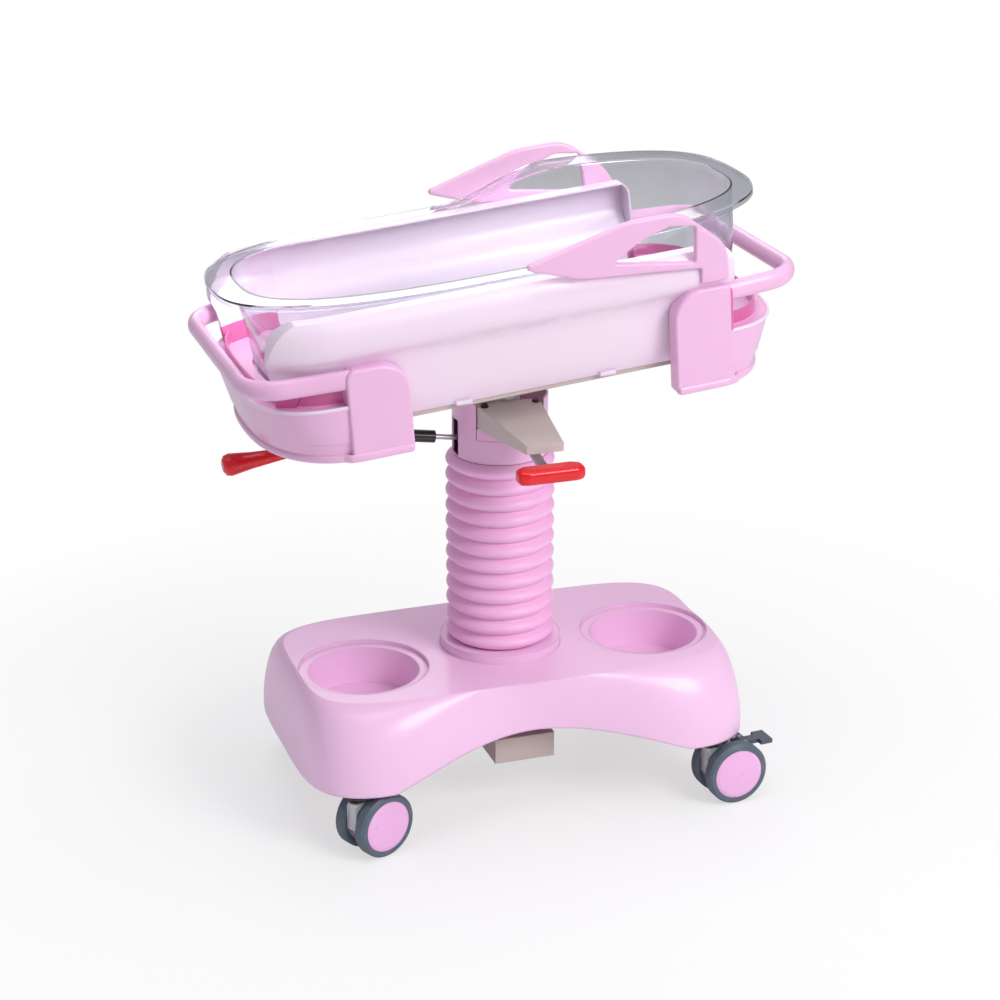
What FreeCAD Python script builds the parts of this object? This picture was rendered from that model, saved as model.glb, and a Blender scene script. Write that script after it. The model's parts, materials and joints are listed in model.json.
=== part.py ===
"""Hospital bassinet on a height-adjusting column, as a parametric document.

Frame: origin on the floor under the column, +Z up, +X towards the head end.  The right side
of the bassinet (where the height lever is) is -Y.  Lengths are millimetres, angles degrees.

The cradle (everything that tilts with the tub) is drawn level and then turned as one about
the tilt pivot on the column head, so its sizes read as they would on the bench.
"""
import FreeCAD, Part
import Sketcher
import math
import os
import re

V = FreeCAD.Vector
doc = FreeCAD.newDocument("Bassinet")
sheet = doc.addObject("Spreadsheet::Sheet", "Sizes")

# ---------------------------------------------------------------- driving dimensions
SIZES = {
    # casters
    "wheel_diameter": 100, "wheel_width": 22, "wheel_pitch": 46, "tread_depth": 10,
    "tread_rounding": 4, "hub_dome": 2, "axle_diameter": 12, "trail": 28,
    "housing_radius": 36, "housing_side_gap": 1, "stem_diameter": 12,
    "collar_diameter": 44, "collar_height": 12, "collar_thickness": 3.5,
    "running_gap": 0.06, "part_gap": 0.3,
    "caster_spacing_x": 572, "caster_spacing_y": 384,
    "pedal_width": 34, "pedal_length": 20, "pedal_thickness": 7,
    # base
    "rim_height": 105, "base_top": 230, "base_half_length": 355, "base_half_width": 236,
    "top_half_length": 330, "top_half_width": 166, "waist_depth": 76, "arch_rise": 42,
    "arch_span": 470, "cover_wall": 4, "well_spacing": 460, "well_offset": 28,
    "well_radius": 86, "well_floor_radius": 76, "well_depth": 62, "ring_radius": 100,
    "ring_depth": 6, "boss_radius": 94, "boss_height": 14,
    "frame_lift": 13, "frame_height": 20, "frame_width": 24, "frame_wall": 3,
    "frame_rail_offset": 56,
    "channel_width": 96, "channel_length": 240, "channel_height": 40,
    "cover_post_offset": 118, "cover_screw_diameter": 6,
    # column
    "outer_tube_diameter": 76, "tube_wall": 3, "outer_tube_length": 277,
    "inner_tube_diameter": 60, "inner_tube_overlap": 123, "inner_tube_wall": 2.5,
    "bush_length": 45, "lift_travel": 150,
    "bellows_diameter": 168, "bellows_fold": 12, "bellows_wall": 4, "pleats": 12,
    "sleeve_diameter": 146, "sleeve_wall": 3, "sleeve_bottom": 548, "sleeve_height": 92,
    "head_plate_height": 606, "head_plate_thickness": 4,
    "lift_spring_diameter": 28, "lift_spring_length": 267, "lift_rod_diameter": 10,
    # head bracket and height lever
    "pivot_height": 650, "pivot_diameter": 12, "ear_inner": 30, "ear_thickness": 4,
    "ear_radius": 20, "hood_back": 42, "hood_reach": 182, "hood_back_width": 100,
    "hood_front_width": 57, "hood_back_rise": 36, "hood_front_rise": 13,
    "hood_base": 602.5, "hood_offset": 8, "hood_wall": 2.5,
    "lever_width": 14, "lever_thickness": 6, "lever_pin_reach": 112, "lever_pin_height": 597,
    "lever_reach": 226, "lever_tail": 30, "lever_hub_radius": 7, "lever_pin_diameter": 6,
    "paddle_length": 102, "paddle_depth": 34, "paddle_height": 22,
    # tilting frame
    "rest_tilt": 5.5, "rail_base": 694, "rail_height": 14, "rail_width": 20,
    "rail_wall": 2, "rail_centre": 160, "rail_half_length": 286, "cross_inner": 55,
    "cross_outer": 276, "lug_thickness": 4, "lug_radius": 17, "lug_top_half": 64,
    "deck_half_length": 345, "deck_half_width": 168, "deck_thickness": 4,
    "deck_corner": 110,
    # tilt gas spring and its lever
    "spring_anchor_x": 332, "spring_anchor_height": 646, "spring_diameter": 19,
    "spring_body_length": 228, "spring_rod_diameter": 8, "spring_eye_radius": 10,
    "spring_lug_x": -52, "spring_lug_height": 572, "spring_pin_diameter": 8,
    "spring_eye_play": 3.2, "spring_rod_inside": 60, "hanger_thickness": 3,
    "tilt_lever_pin_x": 300, "tilt_lever_height": 612,
    "tilt_rod_diameter": 10, "grip_start": 339, "grip_end": 436, "grip_small_radius": 8,
    "grip_big_radius": 17,
    # end shells and handles
    "shell_bottom": 660, "shell_top": 745, "skirt_height": 30, "skirt_step": 1.6,
    "shell_wall": 4, "rib_thickness": 12, "shell_side_bottom": 209, "shell_side_top": 217.5,
    "shell_end_bottom": 395, "shell_end_top": 411, "shell_straight": 262,
    "shell_split": 200, "head_shell_shift": 18, "collar_inset": 18, "collar_wall": 3,
    "collar_top": 765, "cheek_start": 197, "cheek_end": 288, "cheek_bottom": 664,
    "cheek_top": 797, "cheek_thickness": 26, "cheek_lean": 5, "cheek_proud": 5.5,
    "cheek_corner": 42, "cheek_small_corner": 14, "head_cheek_shift": -6,
    "head_cheek_rise": 20, "handle_height": 783, "handle_rise": 29, "handle_width": 21,
    "handle_root_x": 266, "handle_root_y": 214, "handle_end": 421, "handle_bend_y": 196,
    "handle_corner": 60, "handle_play": 0.1, "head_handle_shift": 10,
    "head_handle_rise": 20,
    # side panels and guards
    "panel_base": 701, "panel_top": 874, "panel_foot_y": 172, "panel_pillow_y": 222,
    "panel_lip_y": 188, "panel_wall": 3, "panel_straight": 290, "panel_end_radius": 190,
    "panel_end_turn": 34, "panel_end": 390, "panel_head_end": 300, "panel_nose": 66,
    "panel_heel": 80, "panel_corner": 24, "tab_spacing": 110,
    "guard_thickness": 12, "guard_lean": 9, "guard_seat_y": 221, "guard_seat_height": 868,
    "guard_tip_x": -27, "guard_tip_height": 901, "guard_root_x": 60,
    "guard_root_height": 870, "guard_crest_start": 135, "guard_crest_end": 215,
    "guard_top_height": 943, "guard_shoulder_x": 288, "guard_shoulder_height": 880,
    "guard_foot_x": 290, "guard_foot_height": 826, "guard_post_x": 246,
    "guard_post_height": 852, "guard_crest_round": 150, "guard_turn_round": 60,
    "guard_window_start": 112, "guard_window_end": 237, "guard_window_low": 884,
    "guard_end_round": 5, "guard_edge_round": 3.5,
    # tub
    "tub_floor": 712, "tub_wall": 3, "low_rim": 885, "head_rise": 35, "rim_thickness": 4,
    "rim_foot": 417, "rim_head": 399, "rim_half_width": 202, "rim_head_half_width": 233,
    "tub_room": 5, "tub_foot": 342, "tub_head": 352, "tub_half_width": 158,
}


def write_sizes(sizes):
    for row, (alias, value) in enumerate(sizes.items(), start=1):
        sheet.set("A%d" % row, alias)
        sheet.set("B%d" % row, str(value))
        sheet.setAlias("B%d" % row, alias)
    doc.recompute()


DERIVED = {
    # where the gas spring's foot pin stands in the resting pose, and how the spring lies
    "spring_foot_rise": "spring_anchor_height - pivot_height",
    "spring_foot_x": "-spring_anchor_x * cos(rest_tilt) - spring_foot_rise * sin(rest_tilt)",
    "spring_foot_z": "pivot_height - spring_anchor_x * sin(rest_tilt)"
                     " + spring_foot_rise * cos(rest_tilt)",
    "spring_length": "hypot(spring_lug_x - spring_foot_x; spring_lug_height - spring_foot_z)",
    "spring_slope": "atan2(spring_foot_z - spring_lug_height;"
                    " spring_lug_x - spring_foot_x)",
}
write_sizes({**SIZES, **{alias: "=" + formula for alias, formula in DERIVED.items()}})


# ---------------------------------------------------------------- small helpers
def value(expression):
    """The number that an expression in the sheet's names comes to."""
    if isinstance(expression, str):
        return float(sheet.evalExpression(expression))
    return float(expression)


def linked(expression):
    """The same expression with the sheet's name before each alias."""
    return re.sub(r"[a-z][a-z_]{2,}", lambda word: "Sizes." + word.group(0)
                  if word.group(0) in SIZES or word.group(0) in DERIVED else word.group(0),
                  str(expression))


def bind(item, **properties):
    for name, expression in properties.items():
        item.setExpression(name, linked(expression))
    return item


AXIS_TURNS = {
    "x": FreeCAD.Rotation(V(0, 1, 0), 90),
    "y": FreeCAD.Rotation(V(1, 0, 0), -90),
    "z": FreeCAD.Rotation(),
}


def place(item, at=(0, 0, 0), axis="z"):
    """Puts an item at a bound position, with its own Z along the axis named."""
    item.Placement = FreeCAD.Placement(V(0, 0, 0), AXIS_TURNS[axis])
    for letter, expression in zip("xyz", at):
        item.setExpression("Placement.Base." + letter, linked(expression))
    return item


def cylinder(name, radius, height, at=(0, 0, 0), axis="z"):
    item = doc.addObject("Part::Cylinder", name)
    return place(bind(item, Radius=radius, Height=height), at, axis)


def cone(name, radius_start, radius_end, height, at=(0, 0, 0), axis="z"):
    item = doc.addObject("Part::Cone", name)
    return place(bind(item, Radius1=radius_start, Radius2=radius_end, Height=height), at, axis)


def box(name, low, high):
    """A box between two corners given as expressions."""
    item = doc.addObject("Part::Box", name)
    sides = ["(%s) - (%s)" % (top, bottom) for bottom, top in zip(low, high)]
    return place(bind(item, Length=sides[0], Width=sides[1], Height=sides[2]), low)


def fuse(name, items):
    item = doc.addObject("Part::MultiFuse", name)
    item.Shapes = items
    item.Refine = True
    return item


def joined(name, items):
    """Fuses the items one at a time, which suits curved skins better than all at once."""
    result = items[0]
    for number, item in enumerate(items[1:], start=1):
        pair = name if number == len(items) - 1 else "%s_%d" % (name, number)
        result = fuse(pair, [result, item])
    return result


def cut(name, base, tools):
    tool = tools[0]
    if len(tools) > 1:
        tool = doc.addObject("Part::MultiFuse", name + "_tools")
        tool.Shapes = tools
    item = doc.addObject("Part::Cut", name)
    item.Base = base
    item.Tool = tool
    item.Refine = True
    return item


def common(name, first, second):
    item = doc.addObject("Part::Common", name)
    item.Base = first
    item.Tool = second
    return item


def group(name, items):
    """Separate solids of one kind in one node."""
    item = doc.addObject("Part::Compound", name)
    item.Links = items
    return item


def mirrored(name, source, normal=(0, 1, 0)):
    item = doc.addObject("Part::Mirroring", name)
    item.Source = source
    item.Normal = normal
    return item


def feature(name, shape):
    item = doc.addObject("Part::Feature", name)
    item.Shape = shape
    return item


def origin_plane(body, role):
    return [plane for plane in body.Origin.OriginFeatures if plane.Role == role][0]


def polygon(body, name, role, corners, offset=0, lean=0):
    """A closed sketch of straight sides whose corners are bound to the sheet."""
    sketch = body.newObject("Sketcher::SketchObject", name)
    sketch.AttachmentSupport = [(origin_plane(body, role), "")]
    sketch.MapMode = "FlatFace"
    sketch.AttachmentOffset = FreeCAD.Placement(V(0, 0, 0), FreeCAD.Rotation(V(1, 0, 0), 0))
    sketch.setExpression("AttachmentOffset.Base.z", linked(offset))
    sketch.setExpression("AttachmentOffset.Rotation.Angle", linked(lean))
    points = [V(value(across), value(up), 0) for across, up in corners]
    for index, point in enumerate(points):
        following = points[(index + 1) % len(points)]
        sketch.addGeometry(Part.LineSegment(point, following), False)
    for index in range(len(points)):
        following = (index + 1) % len(points)
        sketch.addConstraint(Sketcher.Constraint("Coincident", index, 2, following, 1))
    for index, (across, up) in enumerate(corners):
        for kind, expression in (("DistanceX", across), ("DistanceY", up)):
            number = sketch.addConstraint(
                Sketcher.Constraint(kind, -1, 1, index, 1, value(expression)))
            sketch.setExpression("Constraints[%d]" % number, linked(expression))
    return sketch


def pad(body, name, sketch, length, symmetric=False):
    item = body.newObject("PartDesign::Pad", name)
    item.Profile = sketch
    if symmetric:
        item.SideType = "Symmetric"
    return bind(item, Length=length)


def revolution(body, name, sketch):
    item = body.newObject("PartDesign::Revolution", name)
    item.Profile = sketch
    item.ReferenceAxis = (sketch, ["V_Axis"])
    item.Angle = 360
    return item


def fillet(body, name, base, radius, wanted):
    """Rounds the edges of the feature before that the test wanted(edge) picks."""
    doc.recompute()
    edges = ["Edge%d" % number for number, edge in enumerate(base.Shape.Edges, start=1)
             if wanted(edge)]
    item = body.newObject("PartDesign::Fillet", name)
    item.Base = (base, edges)
    return bind(item, Radius=radius)


def new_body(name):
    return doc.addObject("PartDesign::Body", name)


def runs_along(edge, axis):
    """True for a straight edge along +-axis."""
    if edge.Curve.TypeId != "Part::GeomLine":
        return False
    return abs(edge.tangentAt(edge.FirstParameter).dot(axis)) > 0.99


NODES = {}


def node(name, item):
    """Names an item as a finished sub-part."""
    item.Label = name
    NODES[name] = item
    return item


def cradle_node(name, item):
    """A sub-part of the cradle, turned about the tilt pivot."""
    item.Placement = FreeCAD.Placement(V(0, 0, 0), FreeCAD.Rotation(V(0, -1, 0), 1))
    bind(item, **{"Placement.Base.x": "pivot_height * sin(rest_tilt)",
                  "Placement.Base.z": "pivot_height * (1 - cos(rest_tilt))",
                  "Placement.Rotation.Angle": "rest_tilt"})
    return node(name, item)


# ---------------------------------------------------------------- curves by formula
def superellipse(reach_back, reach_front, half_width, power=3.0, count=32):
    """Points round an outline whose two ends may reach different distances."""
    points = []
    for step in range(count):
        angle = 2 * math.pi * step / count
        cosine, sine = math.cos(angle), math.sin(angle)
        reach = reach_front if cosine > 0 else reach_back
        across = reach * math.copysign(abs(cosine) ** (2 / power), cosine)
        side = math.copysign(abs(sine) ** (2 / power), sine)
        points.append((across, side * half_width(across)))
    return points


def closed_curve(points, height):
    curve = Part.BSplineCurve()
    curve.interpolate(Points=[V(x, y, height) for x, y in points], PeriodicFlag=True)
    return Part.Wire(curve.toShape())


def face_block(name, points, base, height):
    """A straight block on a plan given by points, from a height that is bound."""
    block = feature(name + "_blank",
                    Part.Face(closed_curve(points, 0)).extrude(V(0, 0, height)))
    return place(feature_link(name, block), (0, 0, base))


def feature_link(name, body):
    item = doc.addObject("Part::Compound", name)
    item.Links = [body]
    return item


def tub_outline(up, inset=0.0):
    """The tub's plan at a part of the way from its floor to its head rim."""
    off_floor = min(1.0, up / 0.08) ** 0.5
    foot = value("tub_foot") + 12 * off_floor + 34 * up
    head = value("tub_head") + 10 * off_floor + 16 * up
    half_width = value("tub_half_width") + 10 * off_floor + 20 * up
    return superellipse(foot - inset, head - inset, lambda x: half_width - inset,
                        power=2.9, count=40)


# ---------------------------------------------------------------- casters
CASTERS = {
    # corner: side along X, side along Y, how far it has swivelled, with a brake or not
    "foot_right": (-1, -1, 23, False),
    "foot_left": (-1, 1, 12, True),
    "head_right": (1, -1, 5, True),
    "head_left": (1, 1, 8, False),
}
HOUSING_TOP = "rim_height - collar_height - 1 - part_gap"


def caster_place(item, sign_x, sign_y, turn):
    item.Placement = FreeCAD.Placement(V(0, 0, 0), FreeCAD.Rotation(V(0, 0, 1), turn))
    return bind(item, **{"Placement.Base.x": "%d * caster_spacing_x / 2" % sign_x,
                         "Placement.Base.y": "%d * caster_spacing_y / 2" % sign_y})


PEDAL_PIN_HEIGHT = "wheel_diameter / 2 + 37.5"


def caster_housing(corner, braked):
    width = "wheel_pitch - wheel_width - 2 * housing_side_gap"
    name = "housing_" + corner
    disc = cylinder(name + "_disc", "housing_radius", width,
                    ("trail", "-(%s) / 2" % width, "wheel_diameter / 2"), "y")
    neck = cylinder(name + "_neck", "(%s) / 2 + 6" % width,
                    HOUSING_TOP + " - wheel_diameter / 2 - 8", (0, 0, "wheel_diameter / 2 + 8"))
    slab = box(name + "_slab",
               ("-(%s) / 2 - 4" % width, "-(%s) / 2" % width, "wheel_diameter / 2 - 4"),
               ("trail", "(%s) / 2" % width, HOUSING_TOP + " - 6"))
    neck = common(name + "_neck_flat", neck, box(
        name + "_neck_slot", ("-housing_radius", "-(%s) / 2" % width, 0),
        ("housing_radius", "(%s) / 2" % width, HOUSING_TOP)))
    axle = cylinder(name + "_axle", "axle_diameter / 2",
                    "wheel_pitch + wheel_width - 8",
                    ("trail", "-(wheel_pitch + wheel_width - 8) / 2", "wheel_diameter / 2"), "y")
    pieces = [disc, neck, slab, axle]
    if braked:
        relief = cylinder(name + "_relief", "6 + 2 * part_gap", width,
                          ("trail + 18", "-(%s) / 2" % width, PEDAL_PIN_HEIGHT), "y")
        pieces = [cut(name + "_relieved", fuse(name + "_block", pieces), [relief])]
        for side in (-1, 1):
            pieces.append(box(
                name + "_brake_ear_%d" % (side + 1),
                ("trail + 11", "%d * (%s) / 2 - 1.3 - %d * 1.3" % (side, width, side),
                 "wheel_diameter / 2 + 20"),
                ("trail + 25", "%d * (%s) / 2 + 1.3 - %d * 1.3" % (side, width, side),
                 "wheel_diameter / 2 + 43")))
        pieces.append(cylinder(name + "_brake_pin", 3, width,
                               ("trail + 18", "-(%s) / 2" % width, PEDAL_PIN_HEIGHT), "y"))
    bore = cylinder(name + "_bore", "stem_diameter / 2 + running_gap", "rim_height",
                    (0, 0, "wheel_diameter / 2 + 10"))
    return cut(name, fuse(name + "_solid", pieces), [bore])


def brake_pedal(corner):
    """A short arm on the housing's pin with a foot pad behind the wheels."""
    name = "pedal_" + corner
    inner = "(wheel_pitch - wheel_width) / 2 - housing_side_gap - 2.6 - part_gap"
    arm = box(name + "_arm", ("trail + 12", "-(%s)" % inner, PEDAL_PIN_HEIGHT + " - 3.4"),
              ("trail + 50", inner, PEDAL_PIN_HEIGHT + " + 3.6"))
    hub = cylinder(name + "_hub", 6, "2 * (%s)" % inner,
                   ("trail + 18", "-(%s)" % inner, PEDAL_PIN_HEIGHT), "y")
    foot = box(name + "_foot", ("trail + 47", "-pedal_width / 2", PEDAL_PIN_HEIGHT + " - 3.4"),
               ("trail + 47 + pedal_length", "pedal_width / 2",
                PEDAL_PIN_HEIGHT + " - 3.4 + pedal_thickness"))
    bore = cylinder(name + "_bore", "3 + running_gap", "2 * (%s)" % inner,
                    ("trail + 18", "-(%s)" % inner, PEDAL_PIN_HEIGHT), "y")
    return cut(name, fuse(name + "_solid", [arm, hub, foot]), [bore])


def wheel_ring(name, profile, side):
    """Turns a profile (radius, distance outwards) about the axle, on one side of the caster."""
    body = new_body(name)
    sketch = polygon(body, name + "_profile", "XY_Plane", profile)
    revolution(body, name + "_turned", sketch)
    turned = feature_link(name + "_axis", body)
    turned.Placement = FreeCAD.Placement(
        V(0, 0, 0), FreeCAD.Rotation(V(0, 0, 1), 0 if side > 0 else 180))
    return turned


TREAD_PROFILE = [
    ("wheel_diameter / 2 - tread_depth", "wheel_pitch / 2 - wheel_width / 2"),
    ("wheel_diameter / 2 - tread_rounding", "wheel_pitch / 2 - wheel_width / 2"),
    ("wheel_diameter / 2", "wheel_pitch / 2 - wheel_width / 2 + tread_rounding"),
    ("wheel_diameter / 2", "wheel_pitch / 2 + wheel_width / 2 - tread_rounding"),
    ("wheel_diameter / 2 - tread_rounding", "wheel_pitch / 2 + wheel_width / 2"),
    ("wheel_diameter / 2 - tread_depth", "wheel_pitch / 2 + wheel_width / 2"),
]
HUB_BORE = "axle_diameter / 2 + running_gap"
AXLE_END = "(wheel_pitch + wheel_width - 8) / 2 + part_gap"
HUB_PROFILE = [
    (HUB_BORE, "wheel_pitch / 2 - wheel_width / 2 + 2"),
    ("wheel_diameter / 2 - tread_depth", "wheel_pitch / 2 - wheel_width / 2 + 2"),
    ("wheel_diameter / 2 - tread_depth", "wheel_pitch / 2 + wheel_width / 2 - 1"),
    ("wheel_diameter / 2 - tread_depth - 6", "wheel_pitch / 2 + wheel_width / 2 + hub_dome / 2"),
    (0, "wheel_pitch / 2 + wheel_width / 2 + hub_dome"),
    (0, AXLE_END),
    (HUB_BORE, AXLE_END),
]


def make_casters():
    stems = []
    for corner, (sign_x, sign_y, turn, braked) in CASTERS.items():
        stem = cylinder("stem_" + corner, "stem_diameter / 2",
                        "rim_height + frame_height + 15 - wheel_diameter / 2 - 12",
                        (0, 0, "wheel_diameter / 2 + 12"))
        collar = cylinder("collar_" + corner, "collar_diameter / 2", "collar_thickness",
                          (0, 0, "rim_height - collar_thickness - 1"))
        neck = cylinder("collar_neck_" + corner, "stem_diameter / 2 + 5", "collar_height",
                        (0, 0, "rim_height - collar_height - 1"))
        shoulder = cylinder("shoulder_" + corner, "stem_diameter / 2 + 4", 1,
                            (0, 0, "rim_height - 1"))
        stems.append(caster_place(fuse("stem_set_" + corner, [stem, collar, neck, shoulder]),
                                  sign_x, sign_y, turn))
        node("caster_housing_" + corner,
             caster_place(caster_housing(corner, braked), sign_x, sign_y, turn))
        if braked:
            node("brake_pedal_" + corner,
                 caster_place(brake_pedal(corner), sign_x, sign_y, turn))
        for side in (-1, 1):
            side_name = "outer" if side * sign_y > 0 else "inner"
            for kind, profile in (("tread", TREAD_PROFILE), ("hub", HUB_PROFILE)):
                label = "caster_%s_%s_%s" % (kind, corner, side_name)
                ring = wheel_ring(label + "_ring", profile, side)
                seated = feature_link(label + "_seat", ring)
                place(seated, ("trail", 0, "wheel_diameter / 2"))
                node(label, caster_place(feature_link(label, seated), sign_x, sign_y, turn))
    node("caster_stems", group("caster_stems", stems))


make_casters()


# ---------------------------------------------------------------- base
COVER_TURNS = (0, 28, 50, 68, 82)


def lobed_outline(half_length, half_width, waist, count=48):
    """A four-lobed plan: nearly square at the corners, drawn in at the middle."""
    def side(across):
        return half_width - waist * math.cos(math.pi * across / (2 * half_length)) ** 3
    return superellipse(half_length, half_length, side, power=5.0, count=count)


def cover_sections(inset):
    """(outline, height) of the cover from its rim to its top, drawn in by a wall.

    The side leans in and rolls over into the top as a quarter of an ellipse does.
    """
    rim, top = value("rim_height"), value("base_top")
    sections = []
    for turn in COVER_TURNS:
        angle = math.radians(turn)
        drawn_in = (1 - math.cos(angle)) / (1 - math.cos(math.radians(COVER_TURNS[-1])))
        risen = math.sin(angle) / math.sin(math.radians(COVER_TURNS[-1]))
        outline = lobed_outline(
            value("base_half_length - (base_half_length - top_half_length) * %g"
                  % drawn_in) - inset,
            value("base_half_width - (base_half_width - top_half_width) * %g"
                  % drawn_in) - inset,
            value("waist_depth") * (1 - drawn_in))
        sections.append((outline, rim + risen * (top - rim - inset)))
    return sections


def lofted(name, sections, ruled=False):
    """A solid through closed curves made by formula."""
    wires = [feature("%s_section_%d" % (name, number), closed_curve(outline, height))
             for number, (outline, height) in enumerate(sections, start=1)]
    item = doc.addObject("Part::Loft", name)
    item.Sections = wires
    item.Solid = True
    item.Ruled = ruled
    return item


def make_base():
    outer = lofted("cover_outer", cover_sections(0))
    inner = lofted("cover_inner", cover_sections(value("cover_wall")))
    walls = []
    holes = []
    for side in (-1, 1):
        at = "%d * well_spacing / 2" % side
        name = "well_%d" % (side + 1)
        walls.append(cone(name + "_wall", "well_floor_radius + cover_wall",
                          "well_radius + cover_wall", "well_depth",
                          (at, "-well_offset", "base_top - well_depth - cover_wall")))
        walls.append(cylinder(name + "_ring_wall", "ring_radius + cover_wall",
                              "ring_depth", (at, "-well_offset",
                                             "base_top - ring_depth - cover_wall")))
        holes.append(cone(name + "_cup", "well_floor_radius", "well_radius", "well_depth",
                          (at, "-well_offset", "base_top - well_depth")))
        holes.append(cylinder(name + "_ring", "ring_radius", "ring_depth + 1",
                              (at, "-well_offset", "base_top - ring_depth")))
    posts = []
    for side_x in (-1, 1):
        for side_y in (-1, 1):
            at = ("%d * cover_post_offset" % side_x, "%d * frame_rail_offset" % side_y)
            name = "post_%d_%d" % (side_x + 1, side_y + 1)
            posts.append(cylinder(name, "cover_screw_diameter / 2 + 4",
                                  "base_top - rim_height - frame_lift - frame_height - 2",
                                  at + ("rim_height + frame_lift + frame_height",)))
            holes.append(cylinder(name + "_hole", "cover_screw_diameter / 2 + running_gap",
                                  30, at + ("rim_height + frame_height + 8",)))
    void = cut("cover_void", inner, walls + posts)
    boss = cylinder("cover_boss", "boss_radius", "boss_height + 12",
                    (0, 0, "base_top - 12"))
    holes.append(cylinder("cover_tube_hole", "outer_tube_diameter / 2 + part_gap",
                          "boss_height + 40", (0, 0, "base_top - 30")))
    arch_radius = "(arch_span * arch_span / (8 * arch_rise) + arch_rise / 2)"
    holes.append(cylinder("cover_arch", arch_radius, "2 * base_half_width + 20",
                          (0, "-base_half_width - 10",
                           "rim_height + arch_rise - " + arch_radius), "y"))
    shell = cut("cover_shell", fuse("cover_solid", [outer, boss]), [void])
    node("base_cover", cut("base_cover", shell, holes))

    rail_base = "rim_height + frame_lift"
    rail_top = "rim_height + frame_lift + frame_height"
    tubes, bores = [], []
    for side in (-1, 1):
        x_centre = "%d * caster_spacing_x / 2" % side
        tubes.append(box("frame_cross_%d" % (side + 1),
                         (x_centre + " - frame_width / 2", "-caster_spacing_y / 2 + 6",
                          rail_base),
                         (x_centre + " + frame_width / 2", "caster_spacing_y / 2 - 6",
                          rail_top)))
        bores.append(box("frame_cross_bore_%d" % (side + 1),
                         (x_centre + " - frame_width / 2 + frame_wall",
                          "-caster_spacing_y / 2 + 20", rail_base + " + frame_wall"),
                         (x_centre + " + frame_width / 2 - frame_wall",
                          "caster_spacing_y / 2 - 20", rail_top + " - frame_wall")))
        y_centre = "%d * frame_rail_offset" % side
        tubes.append(box("frame_rail_%d" % (side + 1),
                         ("-caster_spacing_x / 2", y_centre + " - frame_width / 2", rail_base),
                         ("caster_spacing_x / 2", y_centre + " + frame_width / 2", rail_top)))
        bores.append(box("frame_rail_bore_%d" % (side + 1),
                         ("-caster_spacing_x / 2", y_centre + " - frame_width / 2 + frame_wall",
                          rail_base + " + frame_wall"),
                         ("caster_spacing_x / 2", y_centre + " + frame_width / 2 - frame_wall",
                          rail_top + " - frame_wall")))
        for side_y in (-1, 1):
            at = (x_centre, "%d * caster_spacing_y / 2" % side_y)
            name = "frame_socket_%d_%d" % (side + 1, side_y + 1)
            tubes.append(cylinder(name, "stem_diameter / 2 + 3", 20, at + ("rim_height",)))
            bores.append(cylinder(name + "_bore", "stem_diameter / 2 + running_gap", 40,
                                  at + ("rim_height - 5",)))
            at = ("%d * cover_post_offset" % side, "%d * frame_rail_offset" % side_y)
            bores.append(cylinder("frame_screw_%d_%d" % (side + 1, side_y + 1),
                                  "cover_screw_diameter / 2 + running_gap", 60,
                                  at + ("rim_height",)))
    node("base_frame", cut("base_frame", fuse("frame_tubes", tubes), bores))

    channel = box("channel_block", ("-channel_width / 2", "-channel_length / 2",
                                    "rim_height + frame_lift - channel_height"),
                  ("channel_width / 2", "channel_length / 2", "rim_height + frame_lift"))
    inside = box("channel_inside", ("-channel_width / 2 + frame_wall",
                                    "-channel_length / 2 + frame_wall",
                                    "rim_height + frame_lift - channel_height - 1"),
                 ("channel_width / 2 - frame_wall", "channel_length / 2 - frame_wall",
                  "rim_height + frame_lift - frame_wall"))
    node("base_channel", cut("base_channel", channel, [inside]))

    screws = []
    for side_x in (-1, 1):
        for side_y in (-1, 1):
            at = ("%d * cover_post_offset" % side_x, "%d * frame_rail_offset" % side_y)
            name = "screw_%d_%d" % (side_x + 1, side_y + 1)
            head = cylinder(name + "_head", "cover_screw_diameter", 4,
                            at + (rail_base + " - 4",))
            shank = cylinder(name + "_shank", "cover_screw_diameter / 2",
                             "frame_height + 16", at + (rail_base,))
            screws.append(fuse(name, [head, shank]))
    node("base_screws", group("base_screws", screws))


make_base()


# ---------------------------------------------------------------- lifting column
TUBE_BASE = "rim_height + frame_lift"
TUBE_TOP = "rim_height + frame_lift + outer_tube_length"


def pleated_profile(bottom, top):
    """Points up the outside and back down the inside of a pleated sleeve, as (radius, z)."""
    outer, fold, wall = (value(name) for name in ("bellows_diameter / 2", "bellows_fold",
                                                  "bellows_wall"))
    pleats = int(value("pleats"))
    pitch = (top - bottom) / pleats
    crest = 0.16 * pitch
    outside, inside = [], []
    for number in range(pleats):
        start = bottom + number * pitch
        for radius, up in ((outer - fold, 0), (outer, pitch / 2 - crest),
                           (outer, pitch / 2 + crest)):
            outside.append((radius, start + up))
            inside.append((radius - wall, start + up))
    outside.append((outer - fold, top))
    inside.append((outer - fold - wall, top))
    return outside + inside[::-1]


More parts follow.
